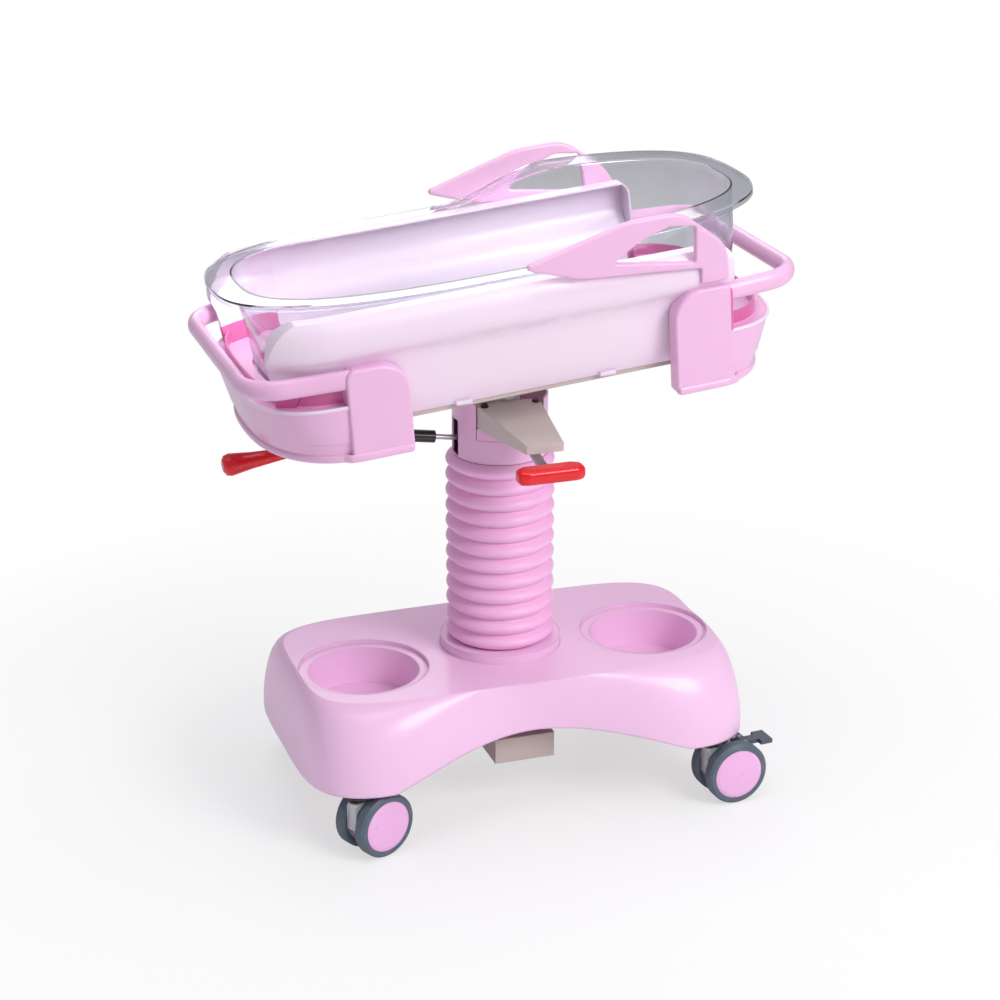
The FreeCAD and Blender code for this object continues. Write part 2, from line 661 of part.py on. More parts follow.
def make_column():
    outer = cylinder("outer_tube_solid", "outer_tube_diameter / 2", "outer_tube_length",
                     (0, 0, TUBE_BASE))
    bore = cylinder("outer_tube_bore", "outer_tube_diameter / 2 - tube_wall",
                    "outer_tube_length + 2", (0, 0, TUBE_BASE + " - 1"))
    node("outer_tube", cut("outer_tube", outer, [bore]))

    sleeve = cylinder("bush_sleeve", "outer_tube_diameter / 2 - tube_wall", "bush_length",
                      (0, 0, TUBE_TOP + " - bush_length"))
    flange = cylinder("bush_flange", "outer_tube_diameter / 2", 3, (0, 0, TUBE_TOP))
    bore = cylinder("bush_bore", "inner_tube_diameter / 2 + running_gap", "bush_length + 10",
                    (0, 0, TUBE_TOP + " - bush_length - 2"))
    node("guide_bush", cut("guide_bush", fuse("bush_solid", [sleeve, flange]), [bore]))

    tube_start = TUBE_TOP + " - inner_tube_overlap"
    tube = cylinder("inner_tube_solid", "inner_tube_diameter / 2",
                    "head_plate_height - (%s)" % tube_start, (0, 0, tube_start))
    bore = cylinder("inner_tube_bore", "inner_tube_diameter / 2 - inner_tube_wall",
                    "head_plate_height - (%s) + 2" % tube_start,
                    (0, 0, tube_start + " - 1"))
    node("inner_tube", cut("inner_tube", tube, [bore]))

    spring = cylinder("lift_spring_solid", "lift_spring_diameter / 2", "lift_spring_length",
                      (0, 0, TUBE_BASE))
    bore = cylinder("lift_spring_bore", "lift_rod_diameter / 2 + running_gap",
                    "lift_travel + 21",
                    (0, 0, TUBE_BASE + " + lift_spring_length - lift_travel - 20"))
    node("lift_spring_cylinder", cut("lift_spring_cylinder", spring, [bore]))
    rod_start = TUBE_BASE + " + lift_spring_length - 12"
    node("lift_spring_rod", cylinder("lift_spring_rod", "lift_rod_diameter / 2",
                                     "head_plate_height - (%s)" % rod_start,
                                     (0, 0, rod_start)))

    bottom, top = value("base_top + boss_height"), value("sleeve_bottom")
    outline = [V(radius, 0, height) for radius, height in pleated_profile(bottom, top)]
    face = Part.Face(Part.makePolygon(outline + [outline[0]]))
    node("bellows", feature("bellows", face.revolve(V(0, 0, 0), V(0, 0, 1), 360)))

    solid = cylinder("sleeve_solid", "sleeve_diameter / 2", "sleeve_height",
                     (0, 0, "sleeve_bottom"))
    bore = cylinder("sleeve_bore", "sleeve_diameter / 2 - sleeve_wall", "sleeve_height + 2",
                    (0, 0, "sleeve_bottom - 1"))
    front = box("sleeve_front_notch",
                ("-hood_back_width / 2 - 4", "-sleeve_diameter", "hood_base - 18"),
                ("hood_back_width / 2 + 2", -40, "sleeve_bottom + sleeve_height + 5"))
    slot = box("sleeve_spring_slot", ("-sleeve_diameter", -15, "spring_lug_height - 22"),
               (-30, 15, "spring_lug_height + 34"))
    node("column_sleeve", cut("column_sleeve", solid, [bore, front, slot]))


make_column()


# ---------------------------------------------------------------- head bracket and lever
def hood_block(name, inset):
    """A tapered block, large by the column and small at the front, drawn in by a wall."""
    item = doc.addObject("Part::Wedge", name)
    return bind(item, Ymin="-hood_reach + %g" % inset, Ymax="-hood_back",
                Xmin="hood_offset - hood_front_width / 2 + %g" % inset,
                Xmax="hood_offset + hood_front_width / 2 - %g" % inset,
                X2min="-hood_back_width / 2 - 3 + %g" % inset,
                X2max="hood_back_width / 2 - 3 - %g" % inset,
                Zmin="hood_base - %g" % (inset and 1),
                Zmax="hood_base + hood_front_rise - %g" % inset,
                Z2min="hood_base - %g" % (inset and 1),
                Z2max="hood_base + hood_back_rise - %g" % inset)


def make_head():
    plate = cylinder("head_plate", "sleeve_diameter / 2 - sleeve_wall", "head_plate_thickness",
                     (0, 0, "head_plate_height"))
    ears, holes = [], []
    for side in (-1, 1):
        name = "head_ear_%d" % (side + 1)
        inner = "ear_inner" if side > 0 else "-ear_inner - ear_thickness"
        ears.append(cylinder(name + "_top", "ear_radius", "ear_thickness",
                             (0, inner, "pivot_height"), "y"))
        ears.append(box(name, ("-ear_radius", inner, "head_plate_height"),
                        ("ear_radius", inner + " + ear_thickness", "pivot_height")))
        lug = "spring_eye_radius" if side > 0 else "-spring_eye_radius - ear_thickness"
        ears.append(box(name + "_spring_lug",
                        ("spring_lug_x - 11", lug, "spring_lug_height - 11"),
                        ("spring_lug_x + 11", lug + " + ear_thickness",
                         "head_plate_height + 1")))
    spring_pin = cylinder("head_spring_pin", "spring_pin_diameter / 2",
                          "2 * (spring_eye_radius + ear_thickness)",
                          ("spring_lug_x", "-spring_eye_radius - ear_thickness",
                           "spring_lug_height"), "y")
    holes.append(cylinder("head_pivot_hole", "pivot_diameter / 2 + running_gap", 100,
                          (0, -50, "pivot_height"), "y"))
    hood_outer = hood_block("hood_outer", 0)
    hood = cut("hood", hood_outer, [hood_block("hood_inner", SIZES["hood_wall"])])
    lever_ears = []
    for side in (-1, 1):
        inner = ("lever_width / 2 + part_gap" if side > 0
                 else "-lever_width / 2 - part_gap - 3")
        lever_ears.append(box("lever_ear_%d" % (side + 1),
                              (inner, "-lever_pin_reach - 9", "lever_pin_height - 9"),
                              (inner + " + 3", "-lever_pin_reach + 9",
                               "hood_base + hood_back_rise")))
    below = box("lever_ear_room", (-30, "-hood_reach", 0), (30, "-hood_back", "hood_base + 2"))
    lever_ears = common("lever_ears_trimmed", fuse("lever_ears", lever_ears),
                        fuse("lever_ear_space", [hood_outer, below]))
    lever_pin = cylinder("lever_pin", "lever_pin_diameter / 2", "lever_width + 6.6",
                         ("-lever_width / 2 - 3.3", "-lever_pin_reach", "lever_pin_height"), "x")
    bracket = fuse("head_bracket_solid", [plate] + ears + [hood, lever_ears, lever_pin,
                                                           spring_pin])
    node("head_bracket", cut("head_bracket", bracket, holes))

    bolt = cylinder("pivot_bolt_shank", "pivot_diameter / 2",
                    "2 * (ear_inner + ear_thickness + part_gap + lug_thickness) + 8",
                    (0, "-(ear_inner + ear_thickness + part_gap + lug_thickness) - 4",
                     "pivot_height"), "y")
    heads = []
    for side in (-1, 1):
        start = ("(ear_inner + ear_thickness + part_gap + lug_thickness) + part_gap"
                 if side > 0 else
                 "-(ear_inner + ear_thickness + part_gap + lug_thickness) - part_gap - 6")
        heads.append(cylinder("pivot_bolt_head_%d" % (side + 1), "pivot_diameter * 0.8", 6,
                              (0, start, "pivot_height"), "y"))
    node("pivot_bolt", fuse("pivot_bolt", [bolt] + heads))


def make_height_lever():
    arm = new_body("height_lever_blank")
    top = "lever_pin_height + lever_thickness / 2"
    low = "lever_pin_height - 13"
    front = "-(lever_reach + 8)"
    profile = [("-lever_pin_reach + lever_tail", top + " - lever_thickness"),
               ("-lever_pin_reach + lever_tail", top),
               ("-lever_pin_reach - 26", top),
               ("-lever_reach + 38", low + " + lever_thickness"),
               (front, low + " + lever_thickness"),
               (front, low),
               ("-lever_reach + 36", low),
               ("-lever_pin_reach - 28", top + " - lever_thickness")]
    sketch = polygon(arm, "height_lever_profile", "YZ_Plane", profile)
    pad(arm, "height_lever_pad", sketch, "lever_width", symmetric=True)
    hub = cylinder("height_lever_hub", "lever_hub_radius", "lever_width",
                   ("-lever_width / 2", "-lever_pin_reach", "lever_pin_height"), "x")
    bore = cylinder("height_lever_bore", "lever_pin_diameter / 2 + running_gap",
                    "lever_width + 2", ("-lever_width / 2 - 1", "-lever_pin_reach",
                                        "lever_pin_height"), "x")
    lever = node("height_lever_arm",
                 cut("height_lever_arm", fuse("height_lever_solid", [arm, hub]), [bore]))

    paddle = new_body("paddle_blank")
    half, taper, middle = "paddle_length / 2", "paddle_length * 0.13", "lever_pin_height - 10"
    back, front = "-lever_reach + paddle_depth / 2", "-lever_reach - paddle_depth / 2"
    plan = [("-" + half, back + " - 9"), ("-%s + %s" % (half, taper), back),
            ("%s - %s" % (half, taper), back), (half, back + " - 9"),
            (half, front + " + 5"), ("%s - %s" % (half, taper), front),
            ("-%s + %s" % (half, taper), front), ("-" + half, front + " + 5")]
    sketch = polygon(paddle, "paddle_plan", "XY_Plane", plan,
                     offset=middle + " - paddle_height / 2")
    block = pad(paddle, "paddle_pad", sketch, "paddle_height")
    upright = fillet(paddle, "paddle_ends", block, "paddle_depth * 0.2",
                     lambda edge: runs_along(edge, V(0, 0, 1)))
    middle_height = value(middle)
    fillet(paddle, "paddle_rounding", upright, "paddle_height * 0.32",
           lambda edge: abs(edge.BoundBox.ZMax - edge.BoundBox.ZMin) < 0.01
           and abs(edge.BoundBox.ZMin - middle_height) > 1)
    node("height_paddle", cut("height_paddle", paddle, [feature_link("paddle_socket", lever)]))


make_head()
make_height_lever()


# ---------------------------------------------------------------- tilting frame
def lug_plate(name, start, thickness):
    """A plate from the cross members down to the pivot, round at the bottom."""
    body = new_body(name)
    width = "lug_radius"
    corners = [("-lug_top_half", "rail_base + rail_height"),
               ("-lug_top_half", "rail_base - 6"),
               ("-" + width, "pivot_height + 4"), ("-" + width, "pivot_height"),
               (width, "pivot_height"), (width, "pivot_height + 4"),
               ("lug_top_half", "rail_base - 6"), ("lug_top_half", "rail_base + rail_height")]
    sketch = polygon(body, name + "_sketch", "XZ_Plane", corners,
                     offset="-(%s) - %s" % (start, thickness))
    pad(body, name + "_pad", sketch, thickness)
    round_end = cylinder(name + "_round", width, thickness, (0, start, "pivot_height"), "y")
    return fuse(name, [body, round_end])


def hanger_plate(name, start):
    """A plate under the foot cross member that carries the gas spring and the lever."""
    body = new_body(name + "_body")
    corners = [("-cross_outer + 12", "rail_base"),
               ("-spring_anchor_x - 13", "rail_base"),
               ("-spring_anchor_x - 13", "spring_anchor_height + 4"),
               ("-spring_anchor_x - 8", "spring_anchor_height - 11"),
               ("-spring_anchor_x + 10", "spring_anchor_height - 11"),
               ("-tilt_lever_pin_x + 2", "tilt_lever_height - 13"),
               ("-tilt_lever_pin_x + 14", "tilt_lever_height - 8"),
               ("-cross_outer + 12", "rail_base - 30")]
    sketch = polygon(body, name + "_sketch", "XZ_Plane", corners,
                     offset="-(%s) - hanger_thickness" % start)
    pad(body, name + "_pad", sketch, "hanger_thickness")
    return body


def make_tilt_frame():
    rails = []
    for side in (-1, 1):
        y_centre = "%d * rail_centre" % side
        name = "rail_%d" % (side + 1)
        solid = box(name + "_solid", ("-rail_half_length", y_centre + " - rail_width / 2",
                                      "rail_base"),
                    ("rail_half_length", y_centre + " + rail_width / 2",
                     "rail_base + rail_height"))
        bore = box(name + "_bore", ("-rail_half_length - 1",
                                    y_centre + " - rail_width / 2 + rail_wall",
                                    "rail_base + rail_wall"),
                   ("rail_half_length + 1", y_centre + " + rail_width / 2 - rail_wall",
                    "rail_base + rail_height - rail_wall"))
        rails.append(cut(name, solid, [bore]))

    members = []
    for number, x_centre in enumerate(("-cross_outer", "-cross_inner", "cross_inner",
                                       "cross_outer")):
        reach = "(rail_centre - rail_width / 2)"
        name = "cross_%d" % number
        solid = box(name + "_solid", (x_centre + " - rail_width / 2", "-" + reach, "rail_base"),
                    (x_centre + " + rail_width / 2", reach, "rail_base + rail_height"))
        bore = box(name + "_bore", (x_centre + " - rail_width / 2 + rail_wall",
                                    "-%s - 1" % reach, "rail_base + rail_wall"),
                   (x_centre + " + rail_width / 2 - rail_wall", reach + " + 1",
                    "rail_base + rail_height - rail_wall"))
        members.append(cut(name, solid, [bore]))
    lug_start = "ear_inner + ear_thickness + part_gap"
    for side in (-1, 1):
        start = lug_start if side > 0 else "-(%s) - lug_thickness" % lug_start
        members.append(lug_plate("lug_%d" % (side + 1), start, "lug_thickness"))
        start = "spring_eye_radius + 1" if side > 0 else "-spring_eye_radius - 1 - hanger_thickness"
        members.append(hanger_plate("hanger_%d" % (side + 1), start))
    hanger_roof = box("hanger_roof", ("-spring_anchor_x - 13",
                                      "-spring_eye_radius - 1 - hanger_thickness", "rail_base"),
                      ("-cross_outer", "spring_eye_radius + 1 + hanger_thickness",
                       "rail_base + hanger_thickness"))
    pin_reach = "(spring_eye_radius + 1 + hanger_thickness)"
    pins = [cylinder("anchor_pin", "spring_pin_diameter / 2", "2 * " + pin_reach,
                     ("-spring_anchor_x", "-" + pin_reach, "spring_anchor_height"), "y"),
            cylinder("tilt_lever_pin", "lever_pin_diameter / 2", "2 * " + pin_reach,
                     ("-tilt_lever_pin_x", "-" + pin_reach, "tilt_lever_height"), "y")]
    bore = cylinder("lug_bore", "pivot_diameter / 2 + running_gap", 200,
                    (0, -100, "pivot_height"), "y")
    cradle_node("cradle_frame", cut("cradle_frame",
                                    fuse("cradle_steel", rails + members + [hanger_roof] + pins),
                                    [bore]))

    deck = new_body("deck_blank")
    half_x, half_y, corner = "deck_half_length", "deck_half_width", "deck_corner"
    plan = [("-" + half_x, "-%s + %s" % (half_y, corner)),
            ("-%s + %s * 0.6" % (half_x, corner), "-" + half_y),
            ("%s - %s * 0.6" % (half_x, corner), "-" + half_y),
            (half_x, "-%s + %s" % (half_y, corner)),
            (half_x, "%s - %s" % (half_y, corner)),
            ("%s - %s * 0.6" % (half_x, corner), half_y),
            ("-%s + %s * 0.6" % (half_x, corner), half_y),
            ("-" + half_x, "%s - %s" % (half_y, corner))]
    sketch = polygon(deck, "deck_plan", "XY_Plane", plan, offset="rail_base + rail_height")
    block = pad(deck, "deck_pad", sketch, "deck_thickness")
    fillet(deck, "deck_corners", block, 30, lambda edge: runs_along(edge, V(0, 0, 1)))
    cradle_node("deck_panel", feature_link("deck_panel", deck))


make_tilt_frame()


# ---------------------------------------------------------------- tilt gas spring
def make_tilt_spring():
    """The cylinder hangs on the foot hanger and its rod is pinned to the column head."""
    def aim(item):
        item.Placement = FreeCAD.Placement(V(0, 0, 0), FreeCAD.Rotation(V(0, 1, 0), 1))
        return bind(item, **{"Placement.Base.x": "spring_foot_x",
                             "Placement.Base.z": "spring_foot_z",
                             "Placement.Rotation.Angle": "spring_slope"})

    start = "spring_eye_radius - 2"
    tube = cylinder("tilt_spring_tube", "spring_diameter / 2", "spring_body_length - (%s)" % start,
                    (start, 0, 0), "x")
    eye = cylinder("tilt_spring_eye", "spring_eye_radius", "2 * spring_eye_radius * 0.8",
                   (0, "-spring_eye_radius * 0.8", 0), "y")
    holes = [cylinder("tilt_spring_eye_bore", "spring_pin_diameter / 2 + running_gap",
                      60, (0, -30, 0), "y"),
             cylinder("tilt_spring_bore", "spring_rod_diameter / 2 + running_gap",
                      "spring_body_length - 60", (60, 0, 0), "x")]
    solid = cut("tilt_spring_solid", fuse("tilt_spring_block", [tube, eye]), holes)
    node("tilt_spring_cylinder", aim(feature_link("tilt_spring_cylinder", solid)))

    inside = "spring_body_length - spring_rod_inside"
    rod = cylinder("tilt_rod", "spring_rod_diameter / 2",
                   "spring_length - spring_pin_diameter / 2 - spring_eye_play - 1 - (%s)" % inside,
                   (inside, 0, 0), "x")
    eye = cylinder("tilt_rod_eye", "spring_eye_radius", "2 * spring_eye_radius - 1",
                   ("spring_length", "-spring_eye_radius + 0.5", 0), "y")
    bore = cylinder("tilt_rod_eye_bore", "spring_pin_diameter / 2 + spring_eye_play", 60,
                    ("spring_length", -30, 0), "y")
    solid = cut("tilt_rod_solid", fuse("tilt_rod_block", [rod, eye]), [bore])
    node("tilt_spring_rod", aim(feature_link("tilt_spring_rod", solid)))


make_tilt_spring()


# ---------------------------------------------------------------- tilt lever
def make_tilt_lever():
    rod = cylinder("tilt_lever_bar", "tilt_rod_diameter / 2", "grip_end - tilt_lever_pin_x - 20",
                   ("-grip_end + 20", 0, "tilt_lever_height"), "x")
    hub = cylinder("tilt_lever_hub", "tilt_rod_diameter / 2 + 3", "2 * spring_eye_radius",
                   ("-tilt_lever_pin_x", "-spring_eye_radius", "tilt_lever_height"), "y")
    bore = cylinder("tilt_lever_bore", "lever_pin_diameter / 2 + running_gap", 60,
                    ("-tilt_lever_pin_x", -30, "tilt_lever_height"), "y")
    cradle_node("tilt_lever_rod",
                cut("tilt_lever_rod", fuse("tilt_lever_solid", [rod, hub]), [bore]))

    grip = new_body("grip_blank")
    socket = "tilt_rod_diameter / 2"
    outer = "grip_end - grip_start"
    profile = [(socket, 0), ("grip_small_radius", 0),
               ("grip_small_radius + 1", "(%s) * 0.12" % outer),
               ("(grip_small_radius + grip_big_radius) / 2", "(%s) * 0.55" % outer),
               ("grip_big_radius", "(%s) * 0.88" % outer),
               ("grip_big_radius - 2", "(%s) * 0.96" % outer),
               ("grip_big_radius - 8", outer), (0, outer),
               (0, outer + " - 20"), (socket, outer + " - 20")]
    sketch = polygon(grip, "grip_profile", "XZ_Plane", profile)
    revolution(grip, "grip_turned", sketch)
    laid = feature_link("grip_laid", grip)
    laid.Placement = FreeCAD.Placement(V(0, 0, 0), FreeCAD.Rotation(V(0, 1, 0), -90))
    bind(laid, **{"Placement.Base.x": "-grip_start", "Placement.Base.z": "tilt_lever_height"})
    cradle_node("tilt_lever_grip", feature_link("tilt_lever_grip", laid))


make_tilt_lever()


# ---------------------------------------------------------------- side panels and guards
def panel_curve(grow=0.0):
    """The outside of a side panel's section, as (y, z) points from its foot to its top."""
    foot, pillow = value("panel_foot_y"), value("panel_pillow_y")
    base, top = value("panel_base"), value("panel_top")
    rise = top - base
    swell = pillow - foot
    return [(-foot - swell * out + grow, base + rise * up - (grow if up > 0.5 else -grow))
            for out, up in ((0, 0), (0.32, 0.20), (0.46, 0.42), (0.60, 0.57), (0.90, 0.68),
                            (1, 0.78), (0.96, 0.90), (0.80, 0.985))]


def panel_section(grow):
    """The closed section of a side panel, standing across its path at the middle."""
    points = panel_curve(grow)
    curve = Part.BSplineCurve()
    curve.interpolate([V(0, y, z) for y, z in points])
    first, last = V(0, *points[0]), V(0, *points[-1])
    open_y = -value("panel_foot_y") + 20
    inner_low = V(0, open_y if grow else first.y + 0.5, first.z)
    inner_top = V(0, open_y if grow else -value("panel_lip_y"), last.z)
    return Part.Wire([curve.toShape(), Part.makeLine(last, inner_top),
                      Part.makeLine(inner_top, inner_low), Part.makeLine(inner_low, first)])


def panel_block(name, grow):
    """The panel as if it were solid, drawn in by the amount given."""
    straight, turn = value("panel_straight"), value("panel_end_turn")
    radius = value("panel_end_radius")
    halves = []
    side_y = value("panel_pillow_y")
    section = panel_section(grow)
    solids = [Part.Face(section).extrude(V(straight, 0, 0))]
    end_face = Part.Face(section)
    end_face.translate(V(straight, 0, 0))
    solids.append(end_face.revolve(V(straight, radius - side_y, 0), V(0, 0, 1), turn))
    half = solids[0].fuse(solids[1]).removeSplitter()
    for solid in (half, half.mirror(V(0, 0, 0), V(1, 0, 0))):
        halves.append(solid)
    return feature(name, halves[0].fuse(halves[1]).removeSplitter())


def pill(name, inset):
    """An outline seen from the side: a round nose at the foot, tighter corners ahead."""
    body = new_body(name)
    foot, head = "-(panel_end - %g)" % inset, "panel_head_end - %g" % inset
    low, high = "panel_base - 1 + %g" % inset, "panel_top + 1 - %g" % inset
    sketch = polygon(body, name + "_sketch", "XZ_Plane",
                     [(foot, low), (head, low), (head, high), (foot, high)], offset=100)
    last = pad(body, name + "_pad", sketch, 200)
    middle = value("(panel_base + panel_top) / 2")
    for corner, radius, at_foot, above in (("nose", "panel_nose", True, True),
                                           ("heel", "panel_heel", True, False),
                                           ("corner", "panel_corner", False, True)):
        last = fillet(body, name + "_" + corner, last, "%s - %g" % (radius, inset),
                      lambda edge: runs_along(edge, V(0, 1, 0))
                      and (edge.BoundBox.Center.x < 0) == at_foot
                      and (edge.BoundBox.Center.z > middle) == above)
    return body


def make_side_panels():
    wall = SIZES["panel_wall"]
    outer = common("panel_outer", panel_block("panel_block", 0), pill("panel_pill", 0))
    inner = common("panel_inner", panel_block("panel_inner_block", wall),
                   pill("panel_inner_pill", wall))
    skin = cut("panel_skin", outer, [inner])
    tabs = []
    for side in (-1, 1):
        centre = "%d * tab_spacing" % side
        tabs.append(box("panel_tab_%d" % (side + 1),
                        (centre + " - 12", "-rail_centre - rail_width / 2 - 12", "panel_base"),
                        (centre + " + 12", "-rail_centre - rail_width / 2",
                         "panel_base + 6")))
    near = joined("side_panel_solid", [skin] + tabs)
    cradle_node("side_panel_right", feature_link("side_panel_right", near))
    cradle_node("side_panel_left", mirrored_link("side_panel_left", near))
    return outer


def mirrored_link(name, source):
    return feature_link(name, mirrored(name + "_mirror", source))


def make_guards(panel_outer):
    """An arch of plate that stands on the panel's pillow and leans out past the rim."""
    body = new_body("guard_blank")
    stretch = "/ cos(guard_lean)"
    corners = [("guard_tip_x", "guard_tip_height " + stretch),
               ("guard_root_x", "guard_root_height " + stretch),
               ("guard_post_x", "guard_post_height " + stretch),
               ("guard_post_x", "guard_foot_height " + stretch),
               ("guard_foot_x", "guard_foot_height " + stretch),
               ("guard_shoulder_x", "guard_shoulder_height " + stretch),
               ("guard_crest_end", "guard_top_height " + stretch),
               ("guard_crest_start", "guard_top_height " + stretch)]
    offset = "guard_seat_y - guard_seat_height * tan(guard_lean)"
    sketch = polygon(body, "guard_sketch", "XZ_Plane", corners, offset=offset,
                     lean="guard_lean")
    last = pad(body, "guard_pad", sketch, "guard_thickness")

    def corner_at(aliases):
        places = [value(alias) for alias in aliases]
        return lambda edge: (edge.BoundBox.XLength < 0.01 and edge.BoundBox.YLength > 5
                             and any(abs(edge.BoundBox.Center.x - place_) < 0.6
                                     for place_ in places))

    for corner, radius, aliases in (
            ("turn", "guard_turn_round", ["guard_shoulder_x", "guard_crest_end"]),
            ("crest", "guard_crest_round", ["guard_crest_start"]),
            ("ends", "guard_end_round", ["guard_tip_x", "guard_foot_x"])):
        last = fillet(body, "guard_" + corner, last, radius, corner_at(aliases))
    crown = value("guard_tip_height") + 12
    fillet(body, "guard_edges", last, "guard_edge_round",
           lambda edge: edge.BoundBox.ZMax > crown and edge.BoundBox.YLength < 9
           and edge.Length > 20)
    window = polygon(body, "guard_window_sketch", "XZ_Plane",
                     [("guard_window_start", "guard_window_low " + stretch),
                      ("guard_crest_start + 15", "(guard_top_height - 33) " + stretch),
                      ("guard_crest_end - 18", "(guard_top_height - 18) " + stretch),
                      ("guard_window_end", "(guard_top_height - 24) " + stretch),
                      ("guard_window_end", "(guard_window_low - 22) " + stretch)],
                     offset=offset, lean="guard_lean")
    opening = body.newObject("PartDesign::Pocket", "guard_window")
    opening.Profile = window
    opening.Type = "ThroughAll"
    opening.SideType = "Symmetric"
    seated = cut("guard_seated", body, [panel_outer])
    cradle_node("guard_right", feature_link("guard_right", seated))
    cradle_node("guard_left", mirrored_link("guard_left", seated))


PANEL_SPACE = make_side_panels()
make_guards(PANEL_SPACE)


# ---------------------------------------------------------------- end shells and handles
def stadium(reaches, side, straight, power, count=11):
    """Points round an outline with straight sides and an end of the power given."""
    points = []
    for end in (1, -1):
        for step in range(count):
            angle = math.pi * (0.5 - step / (count - 1))
            cosine, sine = abs(math.cos(angle)), math.sin(angle)
            across = straight + (reaches[end] - straight) * cosine ** (2 / power)
            height = side * math.copysign(abs(sine) ** (2 / power), sine)
            points.append((end * across, end * height))
        for part in (0.5, 0, -0.5):
            points.append((end * straight * part, -end * side))
    return points


def shell_section(up, inset):
    """The end shells' outline at a part of the way from their bottom to their top."""
    low, high = value("shell_bottom"), value("shell_top")
    reach = value("shell_end_bottom + (shell_end_top - shell_end_bottom) * %g" % up) - inset
    side = value("shell_side_bottom + (shell_side_top - shell_side_bottom) * %g" % up)
    reaches = {-1: reach, 1: reach - value("head_shell_shift")}
    return (stadium(reaches, side - inset, value("shell_straight"), 2.3 + 0.9 * up),
            low + (high - low) * up)


def make_shells_and_handles():
    seam = value("skirt_height / (shell_top - shell_bottom)")
    step = value("skirt_step")
    wall = value("shell_wall")
    skirt = lofted("shell_skirt", [shell_section(0, step), shell_section(seam, step)])
    band = lofted("shell_band", [shell_section(seam, 0), shell_section((1 + seam) / 2, 0),
                                 shell_section(1, 0)])
    low_section, low_height = shell_section(0, step + wall)
    top_section, top_height = shell_section(1, step + wall)
    void = lofted("shell_void", [(low_section, low_height - 1),
                                 shell_section(0.5, step + wall),
                                 (top_section, top_height - wall)])
    outer = fuse("shell_outer", [skirt, band])

    # the well that the tub hangs in, and the low wall that stands behind the handle
    well = face_block("shell_well", tub_outline(value(
        "(shell_top - tub_floor) / (low_rim + head_rise - tub_floor)"), -value("tub_room")),
        "shell_top - 20", 60)
    inset = value("collar_inset")
    collar = cut("shell_collar", face_block("shell_collar_block", shell_section(1, inset)[0],
                                            "shell_top - shell_wall / 2", value(
                                            "collar_top - shell_top + shell_wall / 2")),
                 [face_block("shell_collar_room",
                             shell_section(1, inset + value("collar_wall"))[0],
                             "shell_top - 20", 60)])

    far_space = mirrored("shell_far_panel", PANEL_SPACE)
    for end, end_name in ((-1, "foot"), (1, "head")):
        far = "%d * (shell_end_top + 20)" % end
        near = "-shell_split" if end < 0 else "shell_split - head_cheek_shift"
        low_x, high_x = (far, near) if end < 0 else (near, far)
        room = box("shell_room_" + end_name, (low_x, "-shell_side_top - 20", "shell_bottom - 5"),
                   (high_x, 0, "collar_top + 5"))
        low_x, high_x = (("-shell_end_bottom", "-rail_half_length") if end < 0
                         else ("rail_half_length", "shell_end_bottom"))
        rib_y = "-rail_centre + rail_width / 2"
        rib = box("shell_rib_" + end_name,
                  (low_x, rib_y + " - rib_thickness / 2", "rail_base"),
                  (high_x, rib_y + " + rib_thickness / 2", "rail_base + rail_height"))
        hollow = cut("shell_hollow_" + end_name, outer, [void])
        hollow = cut("shell_open_" + end_name, hollow, [well])
        skin = common("shell_near_skin_" + end_name,
                      fuse("shell_collared_" + end_name, [hollow, collar]), room)
        skin = cut("shell_skin_" + end_name, skin, [PANEL_SPACE])
        rib = cut("shell_rib_fitted_" + end_name,
                  common("shell_rib_inside_" + end_name, rib, outer), [PANEL_SPACE])

        rail = make_handle(end, "handle_rail_" + end_name, 0)
        handle = cut("handle_" + end_name, rail, [PANEL_SPACE, far_space])
        bore = make_handle(end, "handle_bore_" + end_name, value("handle_play"))
        cheek = cut("cheek_over_panel_" + end_name, make_cheek(end, end_name), [PANEL_SPACE])
        cheek = cut("cheek_fitted_" + end_name, cheek, [bore])
        near = joined("shell_near_" + end_name, [skin, rib, cheek])
        far = mirrored("shell_far_" + end_name, near)
        cradle_node("end_shell_" + end_name, fuse("end_shell_" + end_name, [near, far]))
        cradle_node("handle_" + end_name, handle)


def make_cheek(end, end_name):
    body = new_body("cheek_" + end_name)
    stretch = "/ cos(cheek_lean)"
    shift, rise = ("head_cheek_shift", "head_cheek_rise") if end > 0 else (0, 0)
    start, finish = "(cheek_start - %s)" % shift, "(cheek_end - %s)" % shift
    inner, outer = "%d * %s" % (end, start), "%d * %s" % (end, finish)
    crown = "(cheek_top + %s)" % rise
    corners = [(inner, "cheek_bottom " + stretch), (outer, "cheek_bottom " + stretch),
               (outer, crown + stretch), (inner, crown + stretch)]
    sketch = polygon(body, "cheek_sketch_" + end_name, "XZ_Plane", corners,
                     offset="shell_side_bottom + cheek_proud"
                            " - shell_bottom * tan(cheek_lean)",
                     lean="cheek_lean")
    block = pad(body, "cheek_pad_" + end_name, sketch, "cheek_thickness")
    block.Reversed = True
    top = value(crown)

    def at_top(edge, across):
        middle = edge.BoundBox.Center
        return (abs(edge.BoundBox.XMax - edge.BoundBox.XMin) < 0.01
                and middle.z > top - 6 and abs(abs(middle.x) - value(across)) < 1)

    big = fillet(body, "cheek_big_round_" + end_name, block, "cheek_corner",
                 lambda edge: at_top(edge, start))
    small = fillet(body, "cheek_small_round_" + end_name, big, "cheek_small_corner",
                   lambda edge: at_top(edge, finish))
    outer_face_y = -value("shell_side_bottom") + 3
    fillet(body, "cheek_edge_round_" + end_name, small, 4,
           lambda edge: edge.BoundBox.YMax < outer_face_y
           and edge.BoundBox.Center.z > value("cheek_bottom") + 2)
    return body


